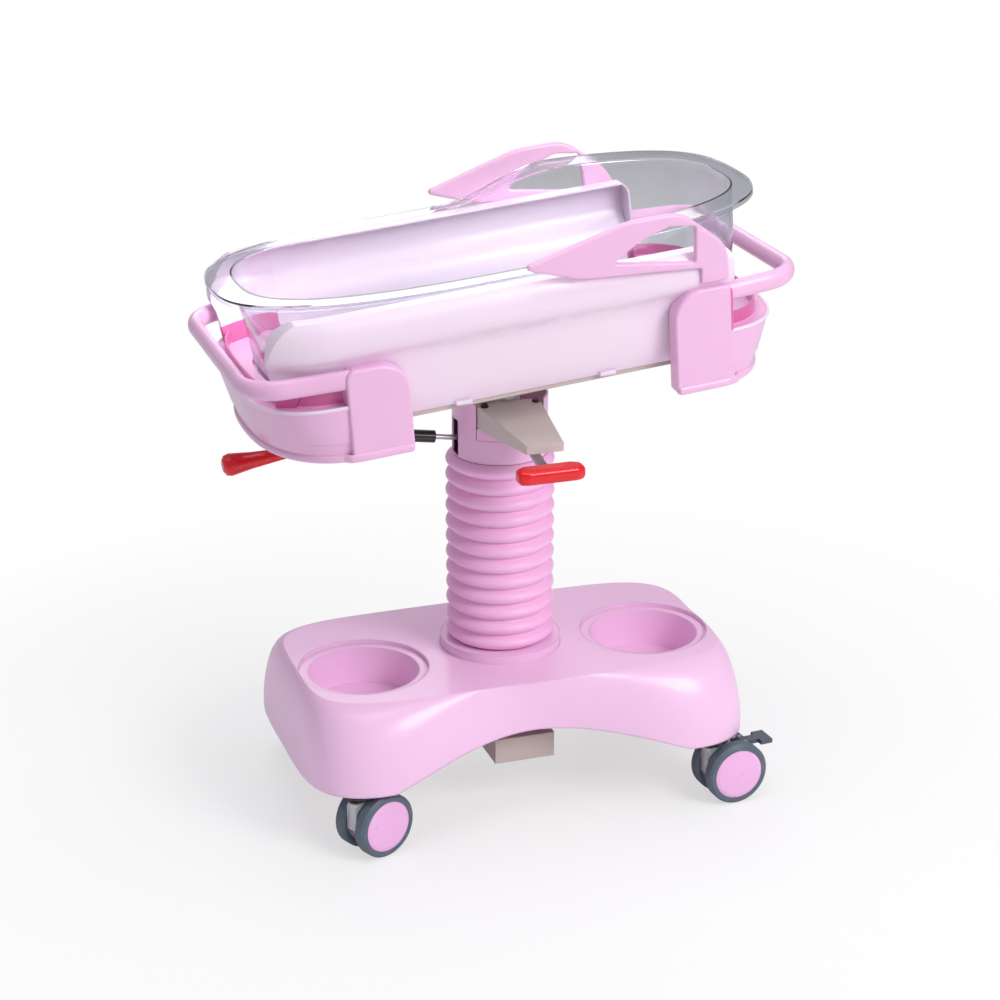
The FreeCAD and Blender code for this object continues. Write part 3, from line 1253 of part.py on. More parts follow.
def rounded_path(points, radius, height):
    """Lines joined by tangent arcs, as the spine for a sweep."""
    edges, start = [], points[0]
    for before, corner, after in zip(points, points[1:], points[2:]):
        arriving = (corner - before).normalize()
        leaving = (after - corner).normalize()
        bend = arriving.getAngle(leaving)
        setback = radius * math.tan(bend / 2)
        arc_start, arc_end = corner - arriving * setback, corner + leaving * setback
        inward = (leaving - arriving).normalize()
        middle = corner + inward * (radius / math.cos(bend / 2) - radius)
        edges.append(Part.makeLine(start, arc_start))
        edges.append(Part.Arc(arc_start, middle, arc_end).toShape())
        start = arc_end
    edges.append(Part.makeLine(start, points[-1]))
    wire = Part.Wire(edges)
    wire.translate(V(0, 0, height))
    return wire


def swept(name, path, section):
    """A solid along a path that runs through the section at its start."""
    spine = feature(name + "_path", path)
    profile = feature(name + "_section", section)
    item = doc.addObject("Part::Sweep", name)
    item.Sections = [profile]
    item.Spine = (spine, ["Edge%d" % number for number in range(1, len(path.Edges) + 1)])
    item.Solid = True
    item.Frenet = True
    return item


def make_handle(end, name, play):
    shift, rise, lift = ("head_cheek_shift", "head_handle_rise", "head_handle_shift") \
        if end > 0 else (0, 0, 0)
    root = V(end * value("handle_root_x - %s" % shift), -value("handle_root_y"), 0)
    bend = V(end * value("handle_end - %s" % lift), -value("handle_bend_y"), 0)
    height = value("handle_height + %s" % rise)
    points = [root, bend, V(bend.x, -bend.y, 0), V(root.x, -root.y, 0)]
    path = rounded_path(points, value("handle_corner"), height)
    along = (bend - root).normalize()
    ellipse = Part.Ellipse(V(0, 0, 0), value("handle_rise / 2") + play,
                           value("handle_width / 2") + play)
    section = Part.Wire(ellipse.toShape())
    section.Placement = FreeCAD.Placement(
        root + V(0, 0, height),
        FreeCAD.Rotation(V(0, 0, 1), V(-along.y, along.x, 0), along, "ZXY"))
    return swept(name, path, section)


make_shells_and_handles()


# ---------------------------------------------------------------- tub
def rim_line(across):
    """How far the rim stands above the foot's, rising in an S past the middle."""
    part = min(1.0, max(0.0, (across + 8) / 190))
    return value("head_rise") * part * part * (3 - 2 * part)


def rim_strip(name, above, below):
    """A band across the tub between two heights measured from the rim."""
    low_rim = value("low_rim")
    start, finish, step = -480, 480, 24
    stations = [start + step * number for number in range((finish - start) // step + 1)]
    curves = []
    for height in (above, below):
        curve = Part.BSplineCurve()
        curve.interpolate([V(x, -280, low_rim + rim_line(x) + height) for x in stations])
        curves.append(curve.toShape())
    ends = [Part.makeLine(curves[0].Vertexes[number].Point, curves[1].Vertexes[number].Point)
            for number in (0, 1)]
    face = Part.Face(Part.Wire(Part.__sortEdges__(curves + ends)))
    return feature(name, face.extrude(V(0, 560, 0)))


def make_tub():
    floor, wall = value("tub_floor"), value("tub_wall")
    depth = value("low_rim + head_rise") - floor + 6
    parts = (0, 0.03, 0.08, 0.4, 0.7, 1)
    outer = lofted("tub_outer", [(tub_outline(up), floor + depth * up) for up in parts])
    inner = lofted("tub_inner", [(tub_outline(up, wall), floor + wall + (depth - 2) * up)
                                 for up in parts])
    thickness = value("rim_thickness")
    above = rim_strip("tub_above", 80, -thickness / 2)
    block = cut("tub_block", outer, [above])

    def rim_half_width(across):
        part = rim_line(across) / value("head_rise")
        return value("rim_half_width") * (1 - part) + value("rim_head_half_width") * part

    def rim_plan(name, inset):
        points = superellipse(value("rim_foot") - inset, value("rim_head") - inset,
                              lambda x: rim_half_width(x) - inset, power=2.9, count=48)
        face = Part.Face(closed_curve(points, value("low_rim") - 40))
        return feature(name, face.extrude(V(0, 0, 120)))

    edge = common("tub_rim_edge", rim_plan("tub_rim_plan", 0),
                  rim_strip("tub_rim_band", 0, -2.2 * thickness))
    under = common("tub_rim_under", rim_plan("tub_rim_inner_plan", wall),
                   rim_strip("tub_under_band", -thickness, -3 * thickness))
    flange = cut("tub_flange", edge, [under])
    cradle_node("tub", cut("tub", fuse("tub_solid", [block, flange]), [inner]))


make_tub()


# ---------------------------------------------------------------- check and export
doc.recompute()
faulty = [item.Name for item in doc.Objects
          if "Invalid" in item.State or "Error" in item.State]
if faulty:
    raise RuntimeError("steps that failed: " + ", ".join(faulty))
os.makedirs("parts", exist_ok=True)
for name, item in NODES.items():
    shape = item.Shape
    if shape.isNull() or not shape.isValid() or not shape.Solids:
        raise RuntimeError("not a sound solid: " + name)
    shape.exportStep("parts/%s.step" % name)
    print("%-34s %8.1f cm3" % (name, shape.Volume / 1000))
print(len(NODES), "nodes")
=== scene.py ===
# %% [markdown]
# # A hospital bassinet in pink plastic
#
# The bassinet is a clear tub in a pink cradle, on a lifting column over a lobed base with
# four twin-wheel casters.  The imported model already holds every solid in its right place, in
# metres: origin on the floor under the column, +Z up, +X to the head end.  This lesson
# gives those solids their surfaces and makes the few pieces whose look needs more than a
# plain solid: the pleated bellows, the lip and bead along each end shell, the strips that
# carry the sleeve up to the hood, the soft edges of the guards and the paddle, and the
# hood's two screws.

# %% Load the model
import json
import math
import bpy
import bmesh
from mathutils import Matrix, Vector


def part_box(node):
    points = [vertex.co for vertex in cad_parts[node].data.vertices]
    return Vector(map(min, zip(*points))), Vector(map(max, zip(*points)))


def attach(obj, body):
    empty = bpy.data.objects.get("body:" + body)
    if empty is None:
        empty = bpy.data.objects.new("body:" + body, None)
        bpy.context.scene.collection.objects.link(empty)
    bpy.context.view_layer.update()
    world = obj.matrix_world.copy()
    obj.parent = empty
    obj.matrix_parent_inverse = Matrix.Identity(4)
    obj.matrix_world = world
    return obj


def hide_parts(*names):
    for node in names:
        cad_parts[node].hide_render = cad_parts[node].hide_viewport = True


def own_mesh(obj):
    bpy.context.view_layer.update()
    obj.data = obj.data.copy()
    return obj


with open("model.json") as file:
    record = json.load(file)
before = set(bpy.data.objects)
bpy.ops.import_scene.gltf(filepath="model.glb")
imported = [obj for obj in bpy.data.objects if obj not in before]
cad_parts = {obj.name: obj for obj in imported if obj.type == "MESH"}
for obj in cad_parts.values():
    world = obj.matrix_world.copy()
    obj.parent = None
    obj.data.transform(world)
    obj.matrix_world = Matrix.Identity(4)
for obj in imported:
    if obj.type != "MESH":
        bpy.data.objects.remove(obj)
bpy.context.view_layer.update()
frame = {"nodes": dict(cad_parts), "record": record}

# %% [markdown]
# ## The camera
#
# A long lens from the foot end, a little above the tub, shows one long side and the foot.
# It looks 18.7 degrees off the square view and 20.9 degrees down.

# %% Camera
CAMERA_PLACE = (-1.152, -3.400, 1.834)
CAMERA_TURN = math.radians(18.72)
CAMERA_DIP = math.radians(20.88)
LENS_PIXELS = 2501.0
FRAME_PIXELS = 1000.0
SENSOR = 36.0

camera_data = bpy.data.cameras.new("bassinet_camera")
camera_data.sensor_width = SENSOR
camera_data.lens = LENS_PIXELS / FRAME_PIXELS * SENSOR
camera_data.clip_end = 60
camera = bpy.data.objects.new("bassinet_camera", camera_data)
camera.location = CAMERA_PLACE
camera.rotation_euler = (math.pi / 2 - CAMERA_DIP, 0, -CAMERA_TURN)
bpy.context.scene.collection.objects.link(camera)
bpy.context.scene.camera = camera
bpy.context.scene.view_settings.view_transform = "Standard"
print("lens", round(camera_data.lens, 1), "mm")

# %% [markdown]
# ## Node helpers
#
# Materials and shapes below are small trees of nodes.  The helpers keep them short: one
# adds a node and sets its inputs, one adds a Math node and one names the inputs of a tree.
# A shader group is an effect that several materials share.

# %% Node helpers
def add_node(tree, kind, inputs=None, **settings):
    """Adds a node; an input is a value, or the output socket that feeds it."""
    node = tree.nodes.new(kind)
    for name, setting in settings.items():
        setattr(node, name, setting)
    for name, feed in (inputs or {}).items():
        socket = node.inputs[name]
        if isinstance(feed, bpy.types.NodeSocket):
            tree.links.new(feed, socket)
        else:
            socket.default_value = feed
    return node


def maths(tree, operation, *feeds):
    """The output of one Math node."""
    return add_node(tree, "ShaderNodeMath", dict(enumerate(feeds)),
                    operation=operation).outputs[0]


def new_tree(name, tree_type, inputs, outputs):
    """A node group with named sockets; returns it with its two end nodes."""
    tree = bpy.data.node_groups.new(name, tree_type)
    for label, kind, start in inputs:
        socket = tree.interface.new_socket(name=label, in_out="INPUT", socket_type=kind)
        if start is not None:
            socket.default_value = start
    for label, kind in outputs:
        tree.interface.new_socket(name=label, in_out="OUTPUT", socket_type=kind)
    return tree, tree.nodes.new("NodeGroupInput"), tree.nodes.new("NodeGroupOutput")


def new_material(name):
    """A material with an empty tree and one output; returns it with both."""
    material = bpy.data.materials.new(name)
    material.use_nodes = True
    tree = material.node_tree
    tree.nodes.clear()
    return material, tree, add_node(tree, "ShaderNodeOutputMaterial")


def stand(name, data):
    """Puts an object made of the data into the scene, at the origin."""
    obj = bpy.data.objects.new(name, data)
    bpy.context.scene.collection.objects.link(obj)
    return obj


FLOAT, COLOUR, VECTOR = "NodeSocketFloat", "NodeSocketColor", "NodeSocketVector"
INTEGER, MATERIAL, GEOMETRY = "NodeSocketInt", "NodeSocketMaterial", "NodeSocketGeometry"
SHADER_TREE, GEOMETRY_TREE = "ShaderNodeTree", "GeometryNodeTree"
print("helpers ready")

# %% [markdown]
# ## Shared effects
#
# **moulded_skin** is what an injection-moulded part shows up close: a colour that drifts a
# little where the plastic flowed, a gloss that comes and goes, a fine pebbled skin, and
# edges that catch the light because no mould makes them sharp.
# **drawn_metal** stretches its noise along one axis, as brushing and drawing do.
# **handling_wear** pales and dulls rubber in small scattered patches.

# %% Moulded skin
WAVE_HEIGHT = 3.0


def build_moulded_skin():
    group, ins, outs = new_tree(
        "moulded_skin", SHADER_TREE,
        [("Vector", VECTOR, None), ("Color", COLOUR, (1, 1, 1, 1)), ("Drift", FLOAT, 0.06),
         ("Gloss", FLOAT, 0.25), ("Gloss spread", FLOAT, 0.1), ("Pebble size", FLOAT, 420.0),
         ("Pebble depth", FLOAT, 0.05), ("Edge round", FLOAT, 0.0016)],
        [("Color", COLOUR), ("Roughness", FLOAT), ("Normal", VECTOR)])
    take = ins.outputs
    flow = add_node(group, "ShaderNodeTexNoise",
                    {"Vector": take["Vector"], "Scale": 5.0, "Detail": 3.0})
    drift = maths(group, "MULTIPLY", flow.outputs["Fac"], take["Drift"])
    shade = maths(group, "SUBTRACT", 1.0, drift)
    tint = add_node(group, "ShaderNodeMix", {0: 1.0, 6: take["Color"], 7: shade},
                    data_type="RGBA", blend_type="MULTIPLY")
    patch = add_node(group, "ShaderNodeTexNoise",
                     {"Vector": take["Vector"], "Scale": 38.0, "Detail": 4.0})
    roughness = maths(group, "MULTIPLY_ADD", patch.outputs["Fac"], take["Gloss spread"],
                      take["Gloss"])
    pebbles = add_node(group, "ShaderNodeTexNoise",
                       {"Vector": take["Vector"], "Scale": take["Pebble size"],
                        "Detail": 1.0})
    waves = add_node(group, "ShaderNodeTexNoise",
                     {"Vector": take["Vector"], "Scale": 14.0, "Detail": 1.0})
    relief = maths(group, "MULTIPLY_ADD", waves.outputs["Fac"], WAVE_HEIGHT,
                   pebbles.outputs["Fac"])
    rounded = add_node(group, "ShaderNodeBevel", {"Radius": take["Edge round"]}, samples=4)
    bump = add_node(group, "ShaderNodeBump",
                    {"Strength": take["Pebble depth"], "Distance": 0.0005,
                     "Height": relief, "Normal": rounded.outputs[0]})
    group.links.new(tint.outputs[2], outs.inputs["Color"])
    group.links.new(roughness, outs.inputs["Roughness"])
    group.links.new(bump.outputs[0], outs.inputs["Normal"])
    return group


MOULDED_SKIN = build_moulded_skin()
print("group", MOULDED_SKIN.name, "ready")

# %% Drawn metal
LINE_ROUGHNESS = 0.18


def build_drawn_metal():
    group, ins, outs = new_tree(
        "drawn_metal", SHADER_TREE,
        [("Vector", VECTOR, None), ("Color", COLOUR, (1, 1, 1, 1)),
         ("Stretch", VECTOR, (1.0, 1.0, 0.03)), ("Gloss", FLOAT, 0.3),
         ("Depth", FLOAT, 0.15)],
        [("Color", COLOUR), ("Roughness", FLOAT), ("Normal", VECTOR)])
    take = ins.outputs
    drawn = add_node(group, "ShaderNodeVectorMath",
                     {0: take["Vector"], 1: take["Stretch"]}, operation="MULTIPLY")
    lines = add_node(group, "ShaderNodeTexNoise",
                     {"Vector": drawn.outputs[0], "Scale": 700.0, "Detail": 3.0})
    stain = add_node(group, "ShaderNodeTexNoise",
                     {"Vector": take["Vector"], "Scale": 22.0, "Detail": 3.0})
    shade = add_node(group, "ShaderNodeMapRange",
                     {"Value": stain.outputs["Fac"], "To Min": 0.88, "To Max": 1.04})
    tint = add_node(group, "ShaderNodeMix", {0: 1.0, 6: take["Color"],
                                             7: shade.outputs[0]},
                    data_type="RGBA", blend_type="MULTIPLY")
    roughness = maths(group, "MULTIPLY_ADD", lines.outputs["Fac"], LINE_ROUGHNESS,
                      take["Gloss"])
    bump = add_node(group, "ShaderNodeBump",
                    {"Strength": take["Depth"], "Distance": 0.0003,
                     "Height": lines.outputs["Fac"]})
    group.links.new(tint.outputs[2], outs.inputs["Color"])
    group.links.new(roughness, outs.inputs["Roughness"])
    group.links.new(bump.outputs[0], outs.inputs["Normal"])
    return group


DRAWN_METAL = build_drawn_metal()
print("group", DRAWN_METAL.name, "ready")

# %% Handling wear
NEW_ROUGHNESS, WORN_ROUGHNESS_RISE = 0.45, 0.3


def build_handling_wear():
    group, ins, outs = new_tree(
        "handling_wear", SHADER_TREE,
        [("Vector", VECTOR, None), ("Color", COLOUR, (1, 1, 1, 1)),
         ("Worn color", COLOUR, (0.5, 0.5, 0.5, 1)), ("Amount", FLOAT, 0.3),
         ("Patch size", FLOAT, 60.0)],
        [("Color", COLOUR), ("Roughness", FLOAT)])
    take = ins.outputs
    spots = add_node(group, "ShaderNodeTexNoise",
                     {"Vector": take["Vector"], "Scale": take["Patch size"],
                      "Detail": 6.0, "Roughness": 0.65})
    edge = add_node(group, "ShaderNodeMapRange",
                    {"Value": spots.outputs["Fac"], "From Min": 0.52, "From Max": 0.72})
    mask = maths(group, "MULTIPLY", edge.outputs[0], take["Amount"])
    tint = add_node(group, "ShaderNodeMix",
                    {0: mask, 6: take["Color"], 7: take["Worn color"]}, data_type="RGBA")
    roughness = maths(group, "MULTIPLY_ADD", mask, WORN_ROUGHNESS_RISE, NEW_ROUGHNESS)
    group.links.new(tint.outputs[2], outs.inputs["Color"])
    group.links.new(roughness, outs.inputs["Roughness"])
    return group


HANDLING_WEAR = build_handling_wear()
print("group", HANDLING_WEAR.name, "ready")

# %% [markdown]
# ## Finishes
#
# One function turns a shared effect into a material: it wires the group's outputs to a
# Principled shader and sets everything that is the same all over on the shader itself.
# Colours are written as they should look on screen and changed to linear light once.

# %% Finishes
def linear(red, green, blue):
    """A screen colour of 0 to 255 in linear light, with full alpha."""
    def one(part):
        part /= 255
        return part / 12.92 if part <= 0.04045 else ((part + 0.055) / 1.055) ** 2.4
    return (one(red), one(green), one(blue), 1.0)


def finish(name, group, group_inputs, **shader_inputs):
    """A material of one shared effect feeding one Principled shader."""
    material, tree, out = new_material(name)
    place = add_node(tree, "ShaderNodeTexCoord")
    effect = add_node(tree, "ShaderNodeGroup", node_tree=group)
    tree.links.new(place.outputs["Object"], effect.inputs["Vector"])
    for label, value in group_inputs.items():
        effect.inputs[label].default_value = value
    shader = add_node(tree, "ShaderNodeBsdfPrincipled",
                      {label.replace("_", " "): value
                       for label, value in shader_inputs.items()})
    for output, wanted in (("Color", "Base Color"), ("Roughness", "Roughness"),
                           ("Normal", "Normal")):
        if output in effect.outputs:
            tree.links.new(effect.outputs[output], shader.inputs[wanted])
    tree.links.new(shader.outputs[0], out.inputs["Surface"])
    return material


def moulded(name, colour, gloss=0.22, spread=0.1, drift=0.06, depth=0.05, edge=0.0016,
            **shader_inputs):
    """A moulded plastic or painted finish."""
    return finish(name, MOULDED_SKIN,
                  {"Color": colour, "Gloss": gloss, "Gloss spread": spread, "Drift": drift,
                   "Pebble depth": depth, "Edge round": edge}, **shader_inputs)


SHELL_LOOK = dict(colour=linear(243, 191, 229), gloss=0.26, Coat_Weight=0.2)
PANEL_LOOK = dict(colour=linear(246, 226, 244), gloss=0.26, Coat_Weight=0.2)
FINISHES = {
    "pink_cover": moulded("pink_cover", linear(252, 206, 242), gloss=0.3, edge=0.005,
                          Coat_Weight=0.2),
    "pink_shell": moulded("pink_shell", **SHELL_LOOK),
    "pale_panel": moulded("pale_panel", **PANEL_LOOK),
    "pink_bellows": moulded("pink_bellows", linear(254, 196, 238), gloss=0.3, depth=0.12),
    "red_grip": moulded("red_grip", linear(232, 14, 26), gloss=0.2, depth=0.02,
                        Coat_Weight=0.2),
    "painted_steel": moulded("painted_steel", linear(206, 190, 184), gloss=0.34,
                             spread=0.16, drift=0.14),
    "grey_bracket": moulded("grey_bracket", linear(216, 204, 200), gloss=0.36,
                            spread=0.16, drift=0.14),
    "deck_board": moulded("deck_board", linear(228, 222, 228), gloss=0.5, depth=0.1),
    "bush_plastic": moulded("bush_plastic", linear(60, 60, 62), gloss=0.45),
    "caster_grey": moulded("caster_grey", linear(196, 197, 204), gloss=0.28, drift=0.12,
                           Metallic=0.35),
    "pink_hub": moulded("pink_hub", linear(248, 190, 238), gloss=0.24, Coat_Weight=0.2),
    "pedal_black": moulded("pedal_black", linear(84, 92, 104), gloss=0.42, depth=0.12),
    "black_steel": moulded("black_steel", linear(26, 26, 28), gloss=0.24, Coat_Weight=0.3),
    "steel": finish("steel", DRAWN_METAL,
                    {"Color": linear(205, 205, 208), "Gloss": 0.22}, Metallic=1.0),
    "grey_tread": finish("grey_tread", HANDLING_WEAR,
                         {"Color": linear(88, 101, 114), "Amount": 0.55,
                          "Worn color": linear(124, 134, 144)}),
}
print("finishes", *FINISHES)

# %% [markdown]
# ## The finger slot's painted shade
#
# The slot behind each handle is deep and narrow, and light bounced between its pink walls
# would leave them a deep rose; that rose is painted shade, mixed into the base colour.  The
# end of each side panel reaches into the same slot and takes the same painted shade.  The
# slot is found by its place in the level cradle, a band of heights past the cheeks.  The
# cradle rests turned by its tilt, so the mask first turns the point back with two dot
# products.

# %% Finger slot painted shade
TILT = math.radians(5.5)
PIVOT_HEIGHT = 0.650
SHELL_TOP, SHELL_BOTTOM = 0.745, 0.660
CHEEK_END = 0.288
# The deep rose below is painted shade for the inside of the slot.
SLOT_SHADE_ROSE = linear(220, 108, 168)
SLOT_BLUR = 0.002
SLOT_PAST_CHEEK, SLOT_FULL = 0.0005, 0.0015
SHELL_SLOT = (SHELL_TOP + 0.0025, 0.820)
PANEL_SLOT = (0.690, 0.768)


def paint_slot_shade(material, low, high):
    """Paints a rose shade into a finish past the cheeks between two heights of the level
    cradle.
    """
    tree = material.node_tree
    shader = tree.nodes["Principled BSDF"]
    plain_colour = shader.inputs["Base Color"].links[0].from_socket
    place = add_node(tree, "ShaderNodeTexCoord")
    moved = add_node(tree, "ShaderNodeVectorMath",
                     {0: place.outputs["Object"], 1: (0, 0, PIVOT_HEIGHT)},
                     operation="SUBTRACT")
    height = add_node(tree, "ShaderNodeVectorMath",
                      {0: moved.outputs[0], 1: (-math.sin(TILT), 0, math.cos(TILT))},
                      operation="DOT_PRODUCT")
    along = add_node(tree, "ShaderNodeVectorMath",
                     {0: moved.outputs[0], 1: (math.cos(TILT), 0, math.sin(TILT))},
                     operation="DOT_PRODUCT")
    middle, half = (low + high) / 2 - PIVOT_HEIGHT, (high - low) / 2
    from_middle = maths(tree, "ABSOLUTE",
                        maths(tree, "SUBTRACT", height.outputs["Value"], middle))
    within = add_node(tree, "ShaderNodeMapRange",
                      {"Value": from_middle, "From Min": half,
                       "From Max": half + SLOT_BLUR, "To Min": 1.0, "To Max": 0.0})
    past = add_node(tree, "ShaderNodeMapRange",
                    {"Value": maths(tree, "ABSOLUTE", along.outputs["Value"]),
                     "From Min": CHEEK_END + SLOT_PAST_CHEEK,
                     "From Max": CHEEK_END + SLOT_FULL})
    mask = maths(tree, "MULTIPLY", within.outputs[0], past.outputs[0])
    # Mixes the painted slot shade into the base colour inside the band.
    colour = add_node(tree, "ShaderNodeMix", {0: mask, 6: plain_colour, 7: SLOT_SHADE_ROSE},
                      data_type="RGBA")
    tree.links.new(colour.outputs[2], shader.inputs["Base Color"])
    return material


# Copies of the shell and panel finishes that carry the slot's painted shade.
FINISHES["slot_shaded_shell"] = paint_slot_shade(moulded("slot_shaded_shell", **SHELL_LOOK), *SHELL_SLOT)
FINISHES["slot_shaded_panel"] = paint_slot_shade(moulded("slot_shaded_panel", **PANEL_LOOK), *PANEL_SLOT)
print("slot colour on slot_shaded_shell and slot_shaded_panel")

# %% [markdown]
# ## Clear acrylic
#
# The tub is a clear moulding.  Its shader stays a plain one: no metal, full transmission,
# the refraction of acrylic and a very smooth skin.  Light that crosses the wall at a slant
# goes through more plastic, so the body colour turns from nearly white to a smoky grey
# where the wall curves away.  A ray that looks for a lamp would be stopped by refraction
# and leave the inside dark, so such rays pass straight through a thin tint instead.

# %% Clear tub finish
ACRYLIC_IOR = 1.49


def clear_plastic(name, colour, slant_colour, roughness):
    """A clear finish that lets the rays that look for a lamp through."""
    material, tree, out = new_material(name)
    slant = add_node(tree, "ShaderNodeLayerWeight", {"Blend": 0.5})
    body = add_node(tree, "ShaderNodeMix", {0: slant.outputs["Facing"], 6: colour,
                                            7: slant_colour}, data_type="RGBA")
    shader = add_node(tree, "ShaderNodeBsdfPrincipled",
                      {"Base Color": body.outputs[2], "Metallic": 0.0,
                       "Roughness": roughness, "IOR": ACRYLIC_IOR,
                       "Transmission Weight": 1.0})
    place = add_node(tree, "ShaderNodeTexCoord")
    flow = add_node(tree, "ShaderNodeTexNoise",
                    {"Vector": place.outputs["Object"], "Scale": 9.0, "Detail": 1.0})
    bump = add_node(tree, "ShaderNodeBump", {"Strength": 0.12, "Distance": 0.002,
                                             "Height": flow.outputs["Fac"]})
    tree.links.new(bump.outputs[0], shader.inputs["Normal"])
    path = add_node(tree, "ShaderNodeLightPath")
    passed = add_node(tree, "ShaderNodeBsdfTransparent", {"Color": colour})
    mixed = add_node(tree, "ShaderNodeMixShader", {0: path.outputs["Is Shadow Ray"],
                                                   1: shader.outputs[0],
                                                   2: passed.outputs[0]})
    tree.links.new(mixed.outputs[0], out.inputs["Surface"])
    return material


FINISHES["clear_tub"] = clear_plastic("clear_tub", colour=linear(247, 249, 250),
                                      slant_colour=linear(216, 219, 229), roughness=0.03)
print("finish clear_tub")

# %% [markdown]
# ## Finishes on the CAD solids
#
# Each node in the record names the slot that it takes its finish from, so one loop dresses
# every solid.  The end shells and the side panels take the finish with the slot's painted
# shade.

# %% Dress the nodes
# End shells and side panels take the finishes with the painted slot shade.
SLOT_SHADED = {"end_shell": "slot_shaded_shell", "side_panel": "slot_shaded_panel"}


def slot_of(node_name):
    """The material slot that the record gives a node."""
    for part in frame["record"]["subparts"]:
        if part["node"] == node_name:
            return part["material_slot"]
    raise KeyError(node_name)


def dress(obj, material):
    """Leaves an object with one material."""
    obj.data.materials.clear()
    obj.data.materials.append(material)


for name, node in frame["nodes"].items():
    kind = name.rpartition("_")[0]
    dress(node, FINISHES[SLOT_SHADED.get(kind, slot_of(name))])
print("dressed", len(frame["nodes"]), "nodes")

# %% [markdown]
# ## The bellows
#
# A rubber bellows hides the lifting tube.  Its shape follows a rule, so a Geometry Nodes
# tree makes it: a flat grid is rolled round the column, and its rows run up the outside
# and back down the inside.  Between two valleys the radius swells as a sine, raised to a
# power below one so that the crests are full and the valleys narrow.  Moulded rubber is
# never quite true, so a slow noise moves the radius by a fraction of a millimetre.

# %% Bellows rule
ROUNDING_GUARD = 0.0001
CREST_FULLNESS = 0.92
WAVERS_PER_METRE = 9.0
MERGE_DISTANCE = 0.00002


def new_rule(name, inputs):
    """A Geometry Nodes tree with named inputs and one mesh output."""
    return new_tree(name, GEOMETRY_TREE, inputs, [("Mesh", GEOMETRY)])


def close_surface(rule, grid, position):
    """Moves a grid's points, welds its seams and makes it smooth."""
    moved = add_node(rule, "GeometryNodeSetPosition",
                     {"Geometry": grid.outputs["Mesh"], "Position": position})
    closed = add_node(rule, "GeometryNodeMergeByDistance",
                      {"Geometry": moved.outputs[0], "Distance": MERGE_DISTANCE})
    smooth = add_node(rule, "GeometryNodeSetShadeSmooth", {0: closed.outputs[0]})
    return smooth.outputs[0]


def end_rule(rule, mesh, ins, outs):
    """Ends a rule in real geometry that carries the rule's material."""
    real = add_node(rule, "GeometryNodeRealizeInstances", {"Geometry": mesh})
    coated = add_node(rule, "GeometryNodeSetMaterial",
                      {"Geometry": real.outputs[0], "Material": ins.outputs["Material"]})
    rule.links.new(coated.outputs[0], outs.inputs["Mesh"])


def build_bellows_rule():
    rule, ins, outs = new_rule(
        "bellows_rule",
        [("Radius", FLOAT, 0.08), ("Fold", FLOAT, 0.01), ("Wall", FLOAT, 0.003),
         ("Bottom", FLOAT, 0.0), ("Top", FLOAT, 0.3), ("Pleats", INTEGER, 12),
         ("Steps", INTEGER, 12), ("Facets", INTEGER, 96), ("Waver", FLOAT, 0.0006),
         ("Seed", FLOAT, 7.0), ("Material", MATERIAL, None)])
    take = ins.outputs
    steps = maths(rule, "MULTIPLY", take["Pleats"], take["Steps"])
    rows = maths(rule, "MULTIPLY_ADD", steps, 2.0, 1.0)
    columns = maths(rule, "ADD", take["Facets"], 1.0)
    grid = add_node(rule, "GeometryNodeMeshGrid",
                    {"Size X": 1.0, "Size Y": 1.0, "Vertices X": columns,
                     "Vertices Y": rows})
    place = add_node(rule, "ShaderNodeSeparateXYZ",
                     {0: add_node(rule, "GeometryNodeInputPosition").outputs[0]})
    around = maths(rule, "MULTIPLY_ADD", place.outputs["X"], math.tau, math.pi)
    along = maths(rule, "ADD", place.outputs["Y"], 0.5)
    fold_back = maths(rule, "ABSOLUTE", maths(rule, "MULTIPLY_ADD", along, 2.0, -1.0))
    height = maths(rule, "SUBTRACT", 1.0, fold_back)
    phase = maths(rule, "FRACT", maths(rule, "MULTIPLY_ADD", height, take["Pleats"],
                                       ROUNDING_GUARD))
    swell = maths(rule, "POWER", maths(rule, "SINE", maths(rule, "MULTIPLY", phase,
                                                           math.pi)), CREST_FULLNESS)
    drawn_in = maths(rule, "MULTIPLY", take["Fold"], maths(rule, "SUBTRACT", 1.0, swell))
    past_top = maths(rule, "GREATER_THAN", along, 0.5 + ROUNDING_GUARD)
    before_end = maths(rule, "LESS_THAN", along, 1.0 - ROUNDING_GUARD)
    wall = maths(rule, "MULTIPLY", take["Wall"],
                 maths(rule, "MULTIPLY", past_top, before_end))
    radius = maths(rule, "SUBTRACT", maths(rule, "SUBTRACT", take["Radius"], drawn_in),
                   wall)
    reach = maths(rule, "SUBTRACT", take["Top"], take["Bottom"])
    level = maths(rule, "MULTIPLY_ADD", height, reach, take["Bottom"])
    cosine, sine = maths(rule, "COSINE", around), maths(rule, "SINE", around)
    noise_at = add_node(rule, "ShaderNodeCombineXYZ",
                        {"X": cosine, "Y": sine,
                         "Z": maths(rule, "MULTIPLY", level, WAVERS_PER_METRE)})
    noise = add_node(rule, "ShaderNodeTexNoise",
                     {"Vector": noise_at.outputs[0], "W": take["Seed"], "Scale": 1.2,
                      "Detail": 1.0}, noise_dimensions="4D")
    waver = maths(rule, "MULTIPLY", take["Waver"],
                  maths(rule, "SUBTRACT", noise.outputs[0], 1.0))
    radius = maths(rule, "ADD", radius, waver)
    rolled = add_node(rule, "ShaderNodeCombineXYZ",
                      {"X": maths(rule, "MULTIPLY", radius, cosine),
                       "Y": maths(rule, "MULTIPLY", radius, sine), "Z": level})
    end_rule(rule, close_surface(rule, grid, rolled.outputs[0]), ins, outs)
    return rule


BELLOWS_RULE = build_bellows_rule()
print("rule", BELLOWS_RULE.name, len(BELLOWS_RULE.nodes), "nodes")

